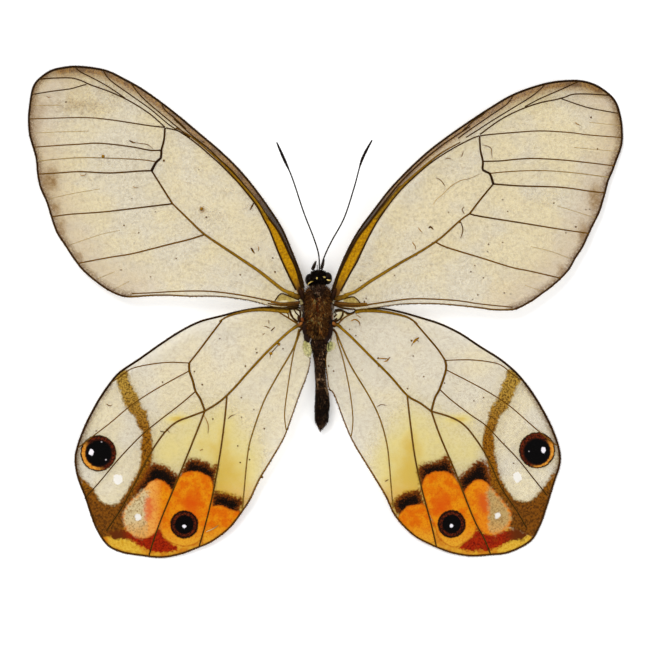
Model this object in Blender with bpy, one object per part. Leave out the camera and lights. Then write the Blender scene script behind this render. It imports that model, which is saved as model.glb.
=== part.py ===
# A spread clear-winged butterfly specimen, upper side up, lying loose on a flat surface.
# Run: blender --background --python part.py
# The origin is on the surface under the middle of the thorax, +X is the specimen's right wing side
# as seen from above and +Y is towards the head. Outlines and veins were traced on the photograph in
# pixels and are turned to real sizes by the wingspan.
import math

import bmesh
import bpy
from mathutils import Vector
from mathutils.geometry import delaunay_2d_cdt

MM = 0.001
WINGSPAN = 59.4
WINGSPAN_PX = 594.0
MM_PER_PX = WINGSPAN / WINGSPAN_PX
ORIGIN_PX = (318.0, 310.0)

MEMBRANE = 0.12
VEIN_HEIGHT = 0.10
VEIN_REACH = 0.42
POINT_GAP = 0.30
MARGIN_STEP = 0.75
GRID_STEP = 2.6
EDGE_LIFT = 0.02
VEIN_STEP = 1.5
CREASE_ANGLE_DEG = 50

FORE_ROOT_HEIGHT = 2.2
HIND_ROOT_HEIGHT = 1.75
FORE_REACH = 34.6
HIND_REACH = 27.6
DROOP_POWER = 1.8

THORAX_BELLY_FLAT = 0.35
ABDOMEN_BELLY_FLAT = 0.0
RING_SIDES = 20
RING_SQUARENESS = 0.84
BELLY_NARROWING = 0.35

# Each outline starts where the front edge leaves the thorax and runs round the tip, back to the
# thorax. The last few points follow the thorax.
FORE_LEFT_OUTLINE_PX = [
    (303.8, 287.6), (300, 272.8), (290, 247.4), (280, 225.5), (260, 196), (240, 171.2), (220, 151.5),
    (200, 134.5), (180, 117.6), (160, 102), (140, 88), (120, 77), (110, 72), (100, 69), (86, 66.8),
    (73, 66.1), (60, 67.6), (50, 70.4), (40, 77), (33.5, 84.5), (30.8, 94), (28.7, 110), (28.2, 120),
    (29.5, 135), (33.8, 149.4), (36.4, 160), (37.5, 173), (40.5, 187.3), (46.6, 201), (51.7, 217),
    (57, 232), (65.4, 244.9), (74, 258), (84.4, 271), (99.7, 283.8), (110, 290.5), (120, 295),
    (130.5, 296.7), (151, 295.4), (170, 295.2), (190, 296.2), (220, 296.4), (250, 300.3),
    (270, 305.7), (283, 308), (297, 305.8), (304, 303), (304.6, 295)]
FORE_RIGHT_OUTLINE_PX = [
    (331.8, 291.3), (340, 268.2), (350, 246.2), (360, 229.2), (375.2, 208.7), (390, 189.7),
    (410, 168.7), (430, 150.5), (450, 135.4), (470, 121.5), (490, 108.4), (510, 96.4), (530, 88.2),
    (550, 82.6), (566, 80.6), (580, 80.5), (590, 82.4), (600, 86.7), (610.5, 94.4), (616.6, 102),
    (620.3, 113.3), (622.3, 125), (622.6, 140), (620.3, 150.3), (616.7, 159.5), (612.5, 171),
    (608.5, 180), (605, 193), (600, 209.8), (595.8, 218.8), (590.2, 230), (582.7, 246.2),
    (575.2, 257.7), (567.7, 270.4), (554.4, 283.7), (540, 294.6), (530.8, 301), (520.4, 306.7),
    (512, 309.5), (493.8, 309.6), (480, 307.7), (460, 305.6), (440, 303.9), (420, 303.4),
    (400, 304.1), (380, 306.7), (362, 309), (350, 309.3), (338, 306.5), (331.6, 303), (331.2, 297)]
HIND_LEFT_OUTLINE_PX = [
    (301, 308.5), (290, 308.2), (275, 307.4), (260, 307.9), (240, 311.3), (220, 316.4), (200, 321.7),
    (180, 331.6), (160, 344.6), (140, 358.7), (120, 372.3), (110, 383.6), (100, 397.9), (91, 413.8),
    (83.8, 428.7), (78.2, 443.6), (74.8, 459), (77.5, 477.7), (85, 497.3), (90.2, 513.5),
    (97, 530.8), (107.5, 545.8), (122, 552.7), (141.5, 555.9), (161.2, 557.7), (179.6, 554.4),
    (198, 547.5), (212, 541.2), (229.2, 527.9), (242, 511.2), (250, 499), (258.9, 479.9),
    (271.5, 458.9), (283.8, 437.5), (290.6, 419.2), (300, 392.3), (305, 379.8), (309.3, 365.4),
    (309.6, 357), (307, 349), (304.6, 340), (304, 330), (303.6, 318)]
HIND_RIGHT_OUTLINE_PX = [
    (335, 310.5), (341, 309.8), (345.5, 312.5), (351, 313.6), (360, 309.6), (380, 308.4),
    (400, 312), (420, 317.6), (440, 324), (460, 333.6), (480, 346.7), (500, 359.3), (515, 371.8),
    (525.4, 383.6), (535.6, 397.9), (546, 415.9), (554, 432.8), (559.7, 450.8), (560, 465),
    (554.2, 483.3), (547.5, 505.3), (540.2, 526), (530.4, 541.8), (509, 552.8), (489.6, 555.2),
    (470, 556.2), (449.4, 552.2), (428.7, 543.6), (413, 534.5), (395.8, 516.2), (385, 494.3),
    (368.3, 466.7), (353.8, 442.6), (344.6, 422), (334.4, 394.4), (329.2, 388.2), (327.7, 378),
    (326, 363), (326.6, 355), (329.5, 347), (331.4, 338), (331.8, 326), (332.2, 316)]

FORE_LEFT_VEINS_PX = [
    [(296, 289), (280, 255), (265.8, 221.3), (240, 184.6), (220, 164.2), (190, 138.8), (166, 128)],
    [(290, 268), (276, 238), (262, 212.5), (245, 187), (220, 160), (190, 133)],
    [(166, 128), (161.5, 150.4), (156.4, 162.2), (151.8, 170.9)],
    [(294, 293), (270, 279.8), (230, 251.6), (189.9, 220.6), (172.8, 204), (151.8, 170.9)],
    [(166, 128), (130, 122.7), (73, 117), (30, 118.4)],
    [(161.5, 150.4), (120, 144.7), (80, 144), (36, 146.6)],
    [(151.8, 170.9), (110, 173), (40, 173.7)],
    [(172.8, 204), (120, 210.2), (53, 216.5)],
    [(205, 234.7), (150, 249.5), (80.8, 262.8)],
    [(280, 303.1), (230, 293.8), (170, 291), (134, 293.2)],
    [(166, 128), (140, 107.3), (100, 88.3), (86, 84.2), (60, 77.3), (40, 78.4)],
    [(86, 84.2), (60, 89.9), (32, 93.7)]]
FORE_RIGHT_VEINS_PX = [
    [(340.5, 290.8), (356, 262.6), (383.3, 211.8), (400, 190.8), (430, 163.6), (460, 144.6),
     (479, 136)],
    [(343, 275), (360, 241), (382, 211), (410, 178), (440, 151)],
    [(479, 136), (481.8, 158.5), (484.9, 172.3), (493.1, 184.1)],
    [(345.6, 295.4), (380, 275.4), (420, 251.8), (450, 229.7), (469.5, 213.8), (493.1, 184.1)],
    [(479, 136), (530, 131), (570, 132.3), (622, 136.9)],
    [(482.8, 161.5), (537.7, 158.5), (570, 160.5), (612.6, 165.4)],
    [(493.1, 184.1), (540, 186.4), (604.4, 192.6)],
    [(469.5, 213.8), (520, 222.8), (588, 233.1)],
    [(436, 242.6), (480, 257.7), (530, 271.2), (558.5, 277.9)],
    [(361, 305.6), (400, 300), (440, 299.5), (480, 304), (511, 307)],
    [(479, 136), (510, 114.7), (540, 102.6), (564, 98), (590, 93.5), (609, 94.6)],
    [(564, 98), (590, 107.5), (619.2, 112.8)]]
HIND_LEFT_VEINS_PX = [
    [(296, 313), (270, 310.4), (245, 311.5), (219.4, 324), (200, 349.5), (189.3, 363)],
    [(189.3, 363), (195.6, 391.3), (204.9, 411)],
    [(189.3, 363), (150, 364.4), (126, 370.8), (113, 381)],
    [(189.5, 370.8), (150, 392.8), (110, 423), (79.2, 446.7)],
    [(195.6, 391.3), (160, 420), (130, 445.6), (92, 492.7)],
    [(204.9, 411), (170, 427.7), (150.5, 453), (127.7, 496.2), (107, 529.6)],
    [(204.9, 411), (185.5, 459.2), (168, 502), (149, 554.4)],
    [(204.9, 411), (227, 396.2), (250, 370.2), (280, 339.9), (298, 325)],
    [(227, 396.2), (221, 448), (210.2, 503), (199.8, 544.6)],
    [(298, 330), (276.2, 377.9), (256, 421.2), (246, 470.8), (243, 505)],
    [(299, 336), (291.5, 365.4), (284.8, 410.6), (286.5, 426)]]
HIND_RIGHT_VEINS_PX = [
    [(340, 317), (362, 310.6), (390, 312.5), (417.4, 325), (430, 340), (445, 360.3)],
    [(445, 360.3), (439.5, 389.2), (431.3, 411.3)],
    [(445, 360.3), (480, 360.7), (501.8, 365.6), (521.3, 379.5)],
    [(445.9, 369.7), (490, 393), (530, 423.6), (557.2, 445)],
    [(439.6, 389.2), (480, 421), (510, 449.7), (543.2, 489.4)],
    [(431.3, 411.3), (463.6, 424.6), (487.3, 457.3), (509, 499.2), (523.7, 521)],
    [(431.3, 411.3), (449.5, 458.4), (473.8, 518.7), (491, 555)],
    [(431.3, 411.3), (407.2, 395.4), (380, 365.6), (350, 335.9), (338, 325)],
    [(407.2, 395.4), (415.3, 459), (426.3, 505.3), (436, 544.2)],
    [(337, 333), (360, 380.5), (383.6, 431.3), (389.5, 466.3), (392.2, 499.2)],
    [(337, 340), (347.2, 376.9), (352.6, 418), (350.6, 427)]]

FORE_LEFT_ROOT_PX = (303, 297)
FORE_RIGHT_ROOT_PX = (332, 298)
HIND_LEFT_ROOT_PX = (302, 322)
HIND_RIGHT_ROOT_PX = (333, 322)

# Body sections from front to back: y in the photograph, left edge, right edge, underside, top.
THORAX_SECTIONS_PX = [
    (286.5, 313, 323, 1.0, 2.2), (288.5, 309, 327, 0.6, 2.6), (292, 306.6, 329.4, 0.15, 2.85),
    (298, 305.7, 330.3, 0.0, 3.05), (306, 305.6, 330.2, 0.0, 3.1), (314, 305.8, 329.6, 0.0, 3.05),
    (322, 306.2, 328.8, 0.0, 2.9), (330, 306.8, 328, 0.0, 2.65), (335, 308, 327.2, 0.25, 2.35),
    (338, 310.5, 325.5, 0.7, 2.0)]
ABDOMEN_SECTIONS_PX = [
    (339, 311, 327.4, 0.62, 1.95), (342, 310.2, 328.6, 0.52, 2.05), (347, 310.8, 328, 0.44, 2.0),
    (354, 313, 326.4, 0.34, 1.8), (362, 314.4, 325.7, 0.26, 1.65), (372, 314.9, 325.2, 0.18, 1.5),
    (384, 315.6, 326.4, 0.08, 1.44), (394, 315.4, 328.9, 0.03, 1.46), (405, 314.7, 330.1, 0.0, 1.5),
    (414, 314.8, 328.6, 0.02, 1.42), (421, 314.6, 328.8, 0.08, 1.28), (425.5, 317, 325.4, 0.2, 1.05),
    (429, 319, 322.6, 0.38, 0.8), (432.3, 319.5, 320.4, 0.52, 0.66)]

HEAD_SIZE = (2.1, 1.5, 1.75)
HEAD_HEIGHT = 1.45
EYE_SIZE = (1.0, 1.3, 1.4)
EYE_RISE = 0.05
HEAD_CENTRE_PX = (318.4, 278.4)
EYE_LEFT_PX = (309.9, 279.9)
EYE_RIGHT_PX = (327.4, 278.3)

ANTENNA_RADIUS = 0.055
CLUB_RADIUS = 0.105
CLUB_LENGTH = 3.0
CLUB_SWELL_POWER = 0.8
ANTENNA_STEP = 0.7
ANTENNA_LEFT_PX = [
    (319.3, 269.6, 2.1), (318.7, 255, 2.4), (313.7, 238.2, 2.6), (303.8, 212.8, 2.7),
    (292.5, 178.9, 2.6), (284, 159.2, 2.4), (276.8, 142.7, 2.2)]
ANTENNA_RIGHT_PX = [
    (322, 269.6, 2.1), (323.6, 259, 2.4), (331.3, 242, 2.6), (344, 218.5, 2.7),
    (354, 188.2, 2.6), (361.8, 160.5, 2.4), (372, 140.5, 2.2)]
PALP_LEFT_PX = [(312.6, 270.2, 1.15), (314.2, 266, 1.35), (316, 261.4, 1.5)]
PALP_RIGHT_PX = [(321.3, 269.6, 1.15), (322.7, 264.5, 1.4), (323.9, 259.2, 1.55)]
PALP_BASE_RADIUS = 0.13
PALP_MIDDLE_RADIUS = 0.15
PALP_TIP_RADIUS = 0.05
PALP_STEP = 0.25
PALP_SIDES = 8

TONGUE_CENTRE_PX = (317.2, 267.6)
TONGUE_HEIGHT = 0.72
TONGUE_COIL_RADIUS = 0.34
TONGUE_TURNS = 1.8
TONGUE_INNER_SHARE = 0.38
TONGUE_START_TURN = 0.3
TONGUE_STEPS = 26
TONGUE_RADIUS = 0.05
TONGUE_TIP_RADIUS = 0.035

# Legs in millimetres for the right side, each point with its thickness as a radius. The left side
# is their mirror. The middle leg is folded back on itself at the knee.
LEG_STEP = 0.4
LEGS = {
    "front_leg": [(0.40, 2.45, 0.75, 0.09), (0.72, 2.2, 0.50, 0.09), (0.66, 2.75, 0.34, 0.07),
                  (0.46, 3.0, 0.26, 0.05)],
    "middle_leg": [(1.06, 0.9, 0.50, 0.10), (1.06, -0.3, 0.45, 0.09), (1.04, -1.25, 0.40, 0.07),
                   (1.03, -1.38, 0.29, 0.06), (1.02, -1.22, 0.18, 0.05), (0.96, 0.3, 0.10, 0.05),
                   (0.88, 1.4, 0.07, 0.04), (0.74, 2.2, 0.06, 0.03)],
    "hind_leg": [(0.52, -2.75, 0.34, 0.10), (0.42, -3.5, 0.22, 0.09), (0.36, -4.4, 0.13, 0.06),
                 (0.24, -5.2, 0.10, 0.05), (0.14, -6.1, 0.06, 0.03)]}

# Each wing: outline, veins, root, height of the root above the surface, reach to its tip.
WINGS = {
    "forewing_left": (FORE_LEFT_OUTLINE_PX, FORE_LEFT_VEINS_PX, FORE_LEFT_ROOT_PX,
                      FORE_ROOT_HEIGHT, FORE_REACH),
    "forewing_right": (FORE_RIGHT_OUTLINE_PX, FORE_RIGHT_VEINS_PX, FORE_RIGHT_ROOT_PX,
                       FORE_ROOT_HEIGHT, FORE_REACH),
    "hindwing_left": (HIND_LEFT_OUTLINE_PX, HIND_LEFT_VEINS_PX, HIND_LEFT_ROOT_PX,
                      HIND_ROOT_HEIGHT, HIND_REACH),
    "hindwing_right": (HIND_RIGHT_OUTLINE_PX, HIND_RIGHT_VEINS_PX, HIND_RIGHT_ROOT_PX,
                       HIND_ROOT_HEIGHT, HIND_REACH)}

# Each material: its colour and its roughness.
WING_LOOK = ((0.71, 0.64, 0.47, 1.0), 0.4)
BODY_LOOK = ((0.05, 0.022, 0.008, 1.0), 0.8)
ABDOMEN_LOOK = ((0.015, 0.007, 0.004, 1.0), 0.7)
HEAD_LOOK = ((0.006, 0.005, 0.005, 1.0), 0.3)
FEELER_LOOK = ((0.03, 0.018, 0.01, 1.0), 0.6)


def clear_scene():
    """Remove every object that the file opened with."""
    for obj in list(bpy.data.objects):
        bpy.data.objects.remove(obj, do_unlink=True)


def material(name, colour, roughness):
    """A Principled material with one colour."""
    mat = bpy.data.materials.new(name)
    mat.use_nodes = True
    shader = mat.node_tree.nodes["Principled BSDF"]
    shader.inputs["Base Color"].default_value = colour
    shader.inputs["Roughness"].default_value = roughness
    mat.diffuse_color = colour
    return mat


def from_photo(point):
    """A traced point in millimetres in the object's frame; a third value is a height already."""
    x = (point[0] - ORIGIN_PX[0]) * MM_PER_PX
    y = (ORIGIN_PX[1] - point[1]) * MM_PER_PX
    if len(point) == 3:
        return Vector((x, y, point[2]))
    return Vector((x, y))


def smooth_curve(points, step, closed=False):
    """Points about a step apart on a Catmull-Rom curve through the given ones."""
    count = len(points)
    result = []
    for i in range(count if closed else count - 1):
        p0 = points[i - 1] if closed or i > 0 else points[i]
        p1 = points[i]
        p2 = points[(i + 1) % count]
        last = closed or i + 2 < count
        p3 = points[(i + 2) % count] if last else p2
        pieces = max(1, round((p2 - p1).length / step))
        for j in range(pieces):
            t = j / pieces
            result.append(0.5 * ((2 * p1) + (p2 - p0) * t
                                 + (2 * p0 - 5 * p1 + 4 * p2 - p3) * t ** 2
                                 + (3 * p1 - p0 - 3 * p2 + p3) * t ** 3))
    if not closed:
        result.append(points[-1].copy())
    return result


def new_object(name, mesh_builder, mat):
    """An object from a bmesh, its faces turned outwards and shaded smooth."""
    bmesh.ops.recalc_face_normals(mesh_builder, faces=mesh_builder.faces)
    mesh = bpy.data.meshes.new(name)
    mesh_builder.to_mesh(mesh)
    mesh_builder.free()
    mesh.transform(((MM, 0, 0, 0), (0, MM, 0, 0), (0, 0, MM, 0), (0, 0, 0, 1)))
    mesh.materials.append(mat)
    mesh.shade_smooth()
    mesh.set_sharp_from_angle(angle=math.radians(CREASE_ANGLE_DEG))
    obj = bpy.data.objects.new(name, mesh)
    bpy.context.scene.collection.objects.link(obj)
    return obj


def distance_to_line(point, line):
    """The distance from a point to a chain of straight runs."""
    best = math.inf
    for start, end in zip(line, line[1:]):
        run = end - start
        t = (point - start).dot(run) / max(run.length_squared, 1e-12)
        nearest = start + run * min(1.0, max(0.0, t))
        best = min(best, (point - nearest).length)
    return best


def inside(point, outline):
    """Whether a point is inside a closed outline."""
    result = False
    for a, b in zip(outline, outline[1:] + outline[:1]):
        if (a.y > point.y) != (b.y > point.y):
            if point.x < (b.x - a.x) * (point.y - a.y) / (b.y - a.y) + a.x:
                result = not result
    return result


def droop(point, root, root_height, reach):
    """The height of a wing's upper face: highest at its root, down to the surface at its tip."""
    share = (point - root).length / reach
    return MEMBRANE + EDGE_LIFT + root_height * (1.0 - min(1.0, share) ** DROOP_POWER)


def wing_points(outline, veins):
    """The wing's outline first, then vein points, points beside the veins and a loose grid."""
    points = list(outline)
    edges = []

    def room_for(point):
        clear = all((point - other).length > POINT_GAP for other in points)
        return clear and inside(point, outline)

    for vein in veins:
        previous = None
        for point in vein:
            near = [i for i, other in enumerate(points) if (point - other).length <= POINT_GAP]
            if near and near[0] >= len(outline):
                index = near[0]
            elif near or not inside(point, outline):
                index = None
            else:
                index = len(points)
                points.append(point)
            if index is not None and previous is not None and index != previous:
                edges.append((previous, index))
            previous = index
    for vein in veins:
        for start, end in zip(vein, vein[1:]):
            side = Vector((start.y - end.y, end.x - start.x)).normalized() * VEIN_REACH
            for beside in ((start + end) / 2 + side, (start + end) / 2 - side):
                if room_for(beside):
                    points.append(beside)
    low = Vector((min(p.x for p in outline), min(p.y for p in outline)))
    high = Vector((max(p.x for p in outline), max(p.y for p in outline)))
    for row in range(int((high.y - low.y) / GRID_STEP) + 1):
        for column in range(int((high.x - low.x) / GRID_STEP) + 1):
            shift = 0.5 * (row % 2)
            point = low + Vector(((column + shift) * GRID_STEP, row * GRID_STEP))
            away = all((point - other).length > 0.5 * GRID_STEP for other in points)
            if away and inside(point, outline):
                points.append(point)
    return points, edges


def make_wing(name, outline_px, veins_px, root_px, root_height, reach, mat):
    """One wing: a thin membrane with its main veins standing up from the upper face."""
    outline = smooth_curve([from_photo(p) for p in outline_px], MARGIN_STEP, closed=True)
    veins = [smooth_curve([from_photo(p) for p in vein], VEIN_STEP) for vein in veins_px]
    root = from_photo(root_px)
    points, edges = wing_points(outline, veins)
    flat, _, faces, _, _, _ = delaunay_2d_cdt(points, edges, [list(range(len(outline)))], 1, 1e-4)
    builder = bmesh.new()
    upper = []
    lower = []
    for point in flat:
        height = droop(point, root, root_height, reach)
        nearest = min(distance_to_line(point, vein) for vein in veins)
        ridge = VEIN_HEIGHT * max(0.0, 1.0 - nearest / VEIN_REACH)
        upper.append(builder.verts.new((point.x, point.y, height + ridge)))
        lower.append(builder.verts.new((point.x, point.y, height - MEMBRANE)))
    rim = {}
    for face in faces:
        builder.faces.new([upper[i] for i in face])
        builder.faces.new([lower[i] for i in reversed(face)])
        for i, j in zip(face, face[1:] + face[:1]):
            rim[(i, j)] = True
    for i, j in rim:
        if (j, i) not in rim:
            builder.faces.new((upper[j], upper[i], lower[i], lower[j]))
    return new_object(name, builder, mat)


def squared(value):
    """A sine or cosine moved away from zero, which makes a ring slightly squarer than an ellipse."""
    return math.copysign(abs(value) ** RING_SQUARENESS, value)


def section(y_px, left_px, right_px, bottom, top, belly_flat):
    """One closed ring of a body, wider at the shoulders, with a flat strip under the belly."""
    left = from_photo((left_px, y_px))
    right = from_photo((right_px, y_px))
    middle = (left + right) / 2
    half_width = (right - left).length / 2
    lowest = RING_SIDES * 3 // 4
    rests = belly_flat > 0 and bottom == 0
    ring = []
    for i in range(RING_SIDES):
        angle = 2 * math.pi * i / RING_SIDES
        across = squared(math.cos(angle)) * half_width
        rise = squared(math.sin(angle))
        if rise < 0:
            across *= 1.0 - BELLY_NARROWING * rise * rise
        z = (top + bottom) / 2 + rise * (top - bottom) / 2
        if rests and abs(i - lowest) <= 1:
            z = bottom
            across = belly_flat * (i - lowest)
        ring.append(Vector((middle.x + across, middle.y, z)))
    return ring


def make_body(name, sections_px, mat, belly_flat):
    """A body lofted through its sections, closed at both ends."""
    builder = bmesh.new()
    rings = []
    for values in sections_px:
        rings.append([builder.verts.new(p) for p in section(*values, belly_flat)])
    for front, back in zip(rings, rings[1:]):
        for i in range(RING_SIDES):
            j = (i + 1) % RING_SIDES
            builder.faces.new((front[i], front[j], back[j], back[i]))
    builder.faces.new(rings[0])
    builder.faces.new(list(reversed(rings[-1])))
    bmesh.ops.triangulate(builder, faces=[f for f in builder.faces if len(f.verts) > 4])
    return new_object(name, builder, mat)


def make_ball(name, centre, size, mat, segments=16, rings=10):
    """A ball stretched to a size."""
    builder = bmesh.new()
    bmesh.ops.create_uvsphere(builder, u_segments=segments, v_segments=rings, radius=0.5)
    for vert in builder.verts:
        vert.co = Vector(centre) + Vector(a * b for a, b in zip(vert.co, size))
    return new_object(name, builder, mat)


def join_on(target, cutter):
    """Grow one solid into another with a live Boolean; the guide stays out of renders."""
    cutter.hide_render = True
    cutter.display_type = "WIRE"
    union = target.modifiers.new("grown together", "BOOLEAN")
    union.operation = "UNION"
    union.solver = "EXACT"
    union.object = cutter


def make_head(mat):
    """The head with its two round eyes grown on, in one piece."""
    centre = from_photo((*HEAD_CENTRE_PX, HEAD_HEIGHT))
    head = make_ball("head", centre, HEAD_SIZE, mat)
    for side, pixel in (("left", EYE_LEFT_PX), ("right", EYE_RIGHT_PX)):
        place = from_photo((*pixel, HEAD_HEIGHT + EYE_RISE))
        join_on(head, make_ball("eye_guide_" + side, place, EYE_SIZE, mat))
    return head


def make_tube(name, path, radii, mat, sides=6):
    """A closed tube along a path, with a radius at each point."""
    builder = bmesh.new()
    rings = []
    helper = Vector((0.0, 0.0, 1.0))
    for i, point in enumerate(path):
        ahead = path[min(i + 1, len(path) - 1)] - path[max(i - 1, 0)]
        ahead.normalize()
        side = ahead.cross(helper)
        if side.length < 0.2:
            side = ahead.cross(Vector((1.0, 0.0, 0.0)))
        side.normalize()
        up = side.cross(ahead)
        ring = []
        for k in range(sides):
            angle = 2 * math.pi * k / sides
            ring.append(builder.verts.new(
                point + radii[i] * (math.cos(angle) * side + math.sin(angle) * up)))
        rings.append(ring)
    for first, second in zip(rings, rings[1:]):
        for k in range(sides):
            j = (k + 1) % sides
            builder.faces.new((first[k], first[j], second[j], second[k]))
    builder.faces.new(rings[0])
    builder.faces.new(list(reversed(rings[-1])))
    bmesh.ops.triangulate(builder, faces=[f for f in builder.faces if len(f.verts) > 4])
    return new_object(name, builder, mat)


def make_antenna(name, points_px, mat):
    """A thin thread that thickens to a slim club over its last stretch."""
    path = smooth_curve([from_photo(p) for p in points_px], ANTENNA_STEP)
    lengths = [0.0]
    for start, end in zip(path, path[1:]):
        lengths.append(lengths[-1] + (end - start).length)
    radii = []
    for length in lengths:
        into_club = max(0.0, (length - lengths[-1] + CLUB_LENGTH) / CLUB_LENGTH)
        swell = math.sin(math.pi * min(1.0, into_club) ** CLUB_SWELL_POWER)
        radii.append(ANTENNA_RADIUS + (CLUB_RADIUS - ANTENNA_RADIUS) * swell)
    return make_tube(name, path, radii, mat)


def make_palp(name, points_px, mat):
    """A short scaly feeler in front of the head."""
    path = smooth_curve([from_photo(p) for p in points_px], PALP_STEP)
    middle = (len(path) - 1) / 2
    radii = []
    for i in range(len(path)):
        from_middle = abs(i - middle) / middle
        end = PALP_BASE_RADIUS if i < middle else PALP_TIP_RADIUS
        radii.append(PALP_MIDDLE_RADIUS + (end - PALP_MIDDLE_RADIUS) * from_middle)
    return make_tube(name, path, radii, mat, sides=PALP_SIDES)


def make_tongue(mat):
    """The tongue, coiled like a watch spring under the head."""
    centre = from_photo((*TONGUE_CENTRE_PX, TONGUE_HEIGHT))
    path = []
    radii = []
    for i in range(TONGUE_STEPS + 1):
        share = i / TONGUE_STEPS
        angle = 2 * math.pi * (TONGUE_START_TURN - TONGUE_TURNS * share)
        coil = TONGUE_COIL_RADIUS * (1.0 - (1.0 - TONGUE_INNER_SHARE) * share)
        path.append(centre + Vector((0.0, coil * math.cos(angle), coil * math.sin(angle))))
        radii.append(TONGUE_RADIUS + (TONGUE_TIP_RADIUS - TONGUE_RADIUS) * share)
    return make_tube("tongue", path, radii, mat)


def make_legs(mat):
    """Six legs folded under the body; the front pair is small, as this family's is."""
    for name, joints in LEGS.items():
        for side, sign in (("left", -1.0), ("right", 1.0)):
            corners = [Vector((sign * x, y, z, radius)) for x, y, z, radius in joints]
            path = smooth_curve(corners, LEG_STEP)
            radii = [point[3] for point in path]
            make_tube(f"{name}_{side}", [Vector(point[:3]) for point in path], radii, mat)


def main():
    clear_scene()
    wing = material("clear_wing", *WING_LOOK)
    body = material("hairy_body", *BODY_LOOK)
    abdomen = material("scaly_abdomen", *ABDOMEN_LOOK)
    head = material("dark_head", *HEAD_LOOK)
    feeler = material("feelers_and_legs", *FEELER_LOOK)
    for name, (outline, veins, root, root_height, reach) in WINGS.items():
        make_wing(name, outline, veins, root, root_height, reach, wing)
    make_body("thorax", THORAX_SECTIONS_PX, body, THORAX_BELLY_FLAT)
    make_body("abdomen", ABDOMEN_SECTIONS_PX, abdomen, ABDOMEN_BELLY_FLAT)
    make_head(head)
    make_antenna("antenna_left", ANTENNA_LEFT_PX, feeler)
    make_antenna("antenna_right", ANTENNA_RIGHT_PX, feeler)
    make_palp("palp_left", PALP_LEFT_PX, feeler)
    make_palp("palp_right", PALP_RIGHT_PX, feeler)
    make_tongue(feeler)
    make_legs(feeler)


main()
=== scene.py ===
# %% [markdown]
# A spread clear-winged butterfly, built around its plain solids.
# The solids give the real size and place of each piece. This script gives the looks: see-through
# wings with raised veins and scale markings, a hairy body, eyes, feelers and a little dust.

# %% Load the solids
import math

import bmesh
import bpy
import numpy as np
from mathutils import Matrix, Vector
from mathutils.geometry import delaunay_2d_cdt


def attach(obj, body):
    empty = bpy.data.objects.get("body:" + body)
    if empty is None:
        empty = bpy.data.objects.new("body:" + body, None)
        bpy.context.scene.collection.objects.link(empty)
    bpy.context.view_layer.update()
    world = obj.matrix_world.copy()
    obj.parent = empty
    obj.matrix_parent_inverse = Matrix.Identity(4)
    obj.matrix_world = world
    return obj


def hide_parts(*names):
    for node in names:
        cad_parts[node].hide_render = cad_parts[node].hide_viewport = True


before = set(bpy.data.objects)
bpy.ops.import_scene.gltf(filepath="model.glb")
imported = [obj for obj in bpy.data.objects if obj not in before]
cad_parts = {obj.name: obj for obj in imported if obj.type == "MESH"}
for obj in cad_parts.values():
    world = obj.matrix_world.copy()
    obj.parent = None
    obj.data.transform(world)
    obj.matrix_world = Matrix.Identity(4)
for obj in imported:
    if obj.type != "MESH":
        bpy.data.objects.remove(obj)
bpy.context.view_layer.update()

print("solids:", ", ".join(sorted(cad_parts)))

# %% [markdown]
# Real sizes come first. The wings were traced on the photograph in pixels, and the wingspan of
# 59.4 mm turns each pixel into a real length. The origin is under the middle of the thorax.

# %% Sizes and the tracing scale
MM = 0.001
MM_PER_PX = 59.4 / 594.0
ORIGIN_PX = (318.0, 310.0)


def at(point):
    """A traced pixel as millimetres in the model's frame."""
    return ((point[0] - ORIGIN_PX[0]) * MM_PER_PX, (ORIGIN_PX[1] - point[1]) * MM_PER_PX)


def trace(points):
    """Traced pixels as an array of points in millimetres."""
    return np.array([at(p) for p in points])


def smooth(points, step, closed=False):
    """Points about a step apart on a Catmull-Rom curve through the given ones."""
    points = np.asarray(points, dtype=float)
    count = len(points)
    result = []
    for i in range(count if closed else count - 1):
        p1, p2 = points[i], points[(i + 1) % count]
        p0 = points[i - 1] if closed or i > 0 else p1
        p3 = points[(i + 2) % count] if closed or i + 2 < count else p2
        pieces = max(1, round(float(np.linalg.norm((p2 - p1)[:2])) / step))
        for t in np.arange(pieces) / pieces:
            result.append(0.5 * (2 * p1 + (p2 - p0) * t + (2 * p0 - 5 * p1 + 4 * p2 - p3)
                                 * t ** 2 + (3 * p1 - p0 - 3 * p2 + p3) * t ** 3))
    if not closed:
        result.append(points[-1])
    return np.array(result)


print("one traced pixel is", round(MM_PER_PX, 3), "mm")

# %% [markdown]
# Camera and light. The specimen was photographed from straight above with a long lens, on white,
# in soft light from all sides. A 200 mm lens that far away keeps the wings free of perspective.

# %% Camera, light and floor
FRAME_WIDTH = 64.9 * MM
LENS = 200.0
FRAME_CENTRE_MM = (0.65, -1.45)
FOCUS_MM = 1.2
WORLD_STRENGTH = 0.73
camera_data = bpy.data.cameras.new("camera")
camera_data.lens = LENS
camera_data.clip_start = 0.01
camera = bpy.data.objects.new("camera", camera_data)
bpy.context.scene.collection.objects.link(camera)
distance = FRAME_WIDTH * LENS / camera_data.sensor_width
camera.location = (FRAME_CENTRE_MM[0] * MM, FRAME_CENTRE_MM[1] * MM, distance + FOCUS_MM * MM)
bpy.context.scene.camera = camera
bpy.context.scene.view_settings.view_transform = "Standard"

world = bpy.data.worlds.new("soft_box")
world.use_nodes = True
world.node_tree.nodes["Background"].inputs["Color"].default_value = (1.0, 1.0, 1.0, 1.0)
world.node_tree.nodes["Background"].inputs["Strength"].default_value = WORLD_STRENGTH
bpy.context.scene.world = world

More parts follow.
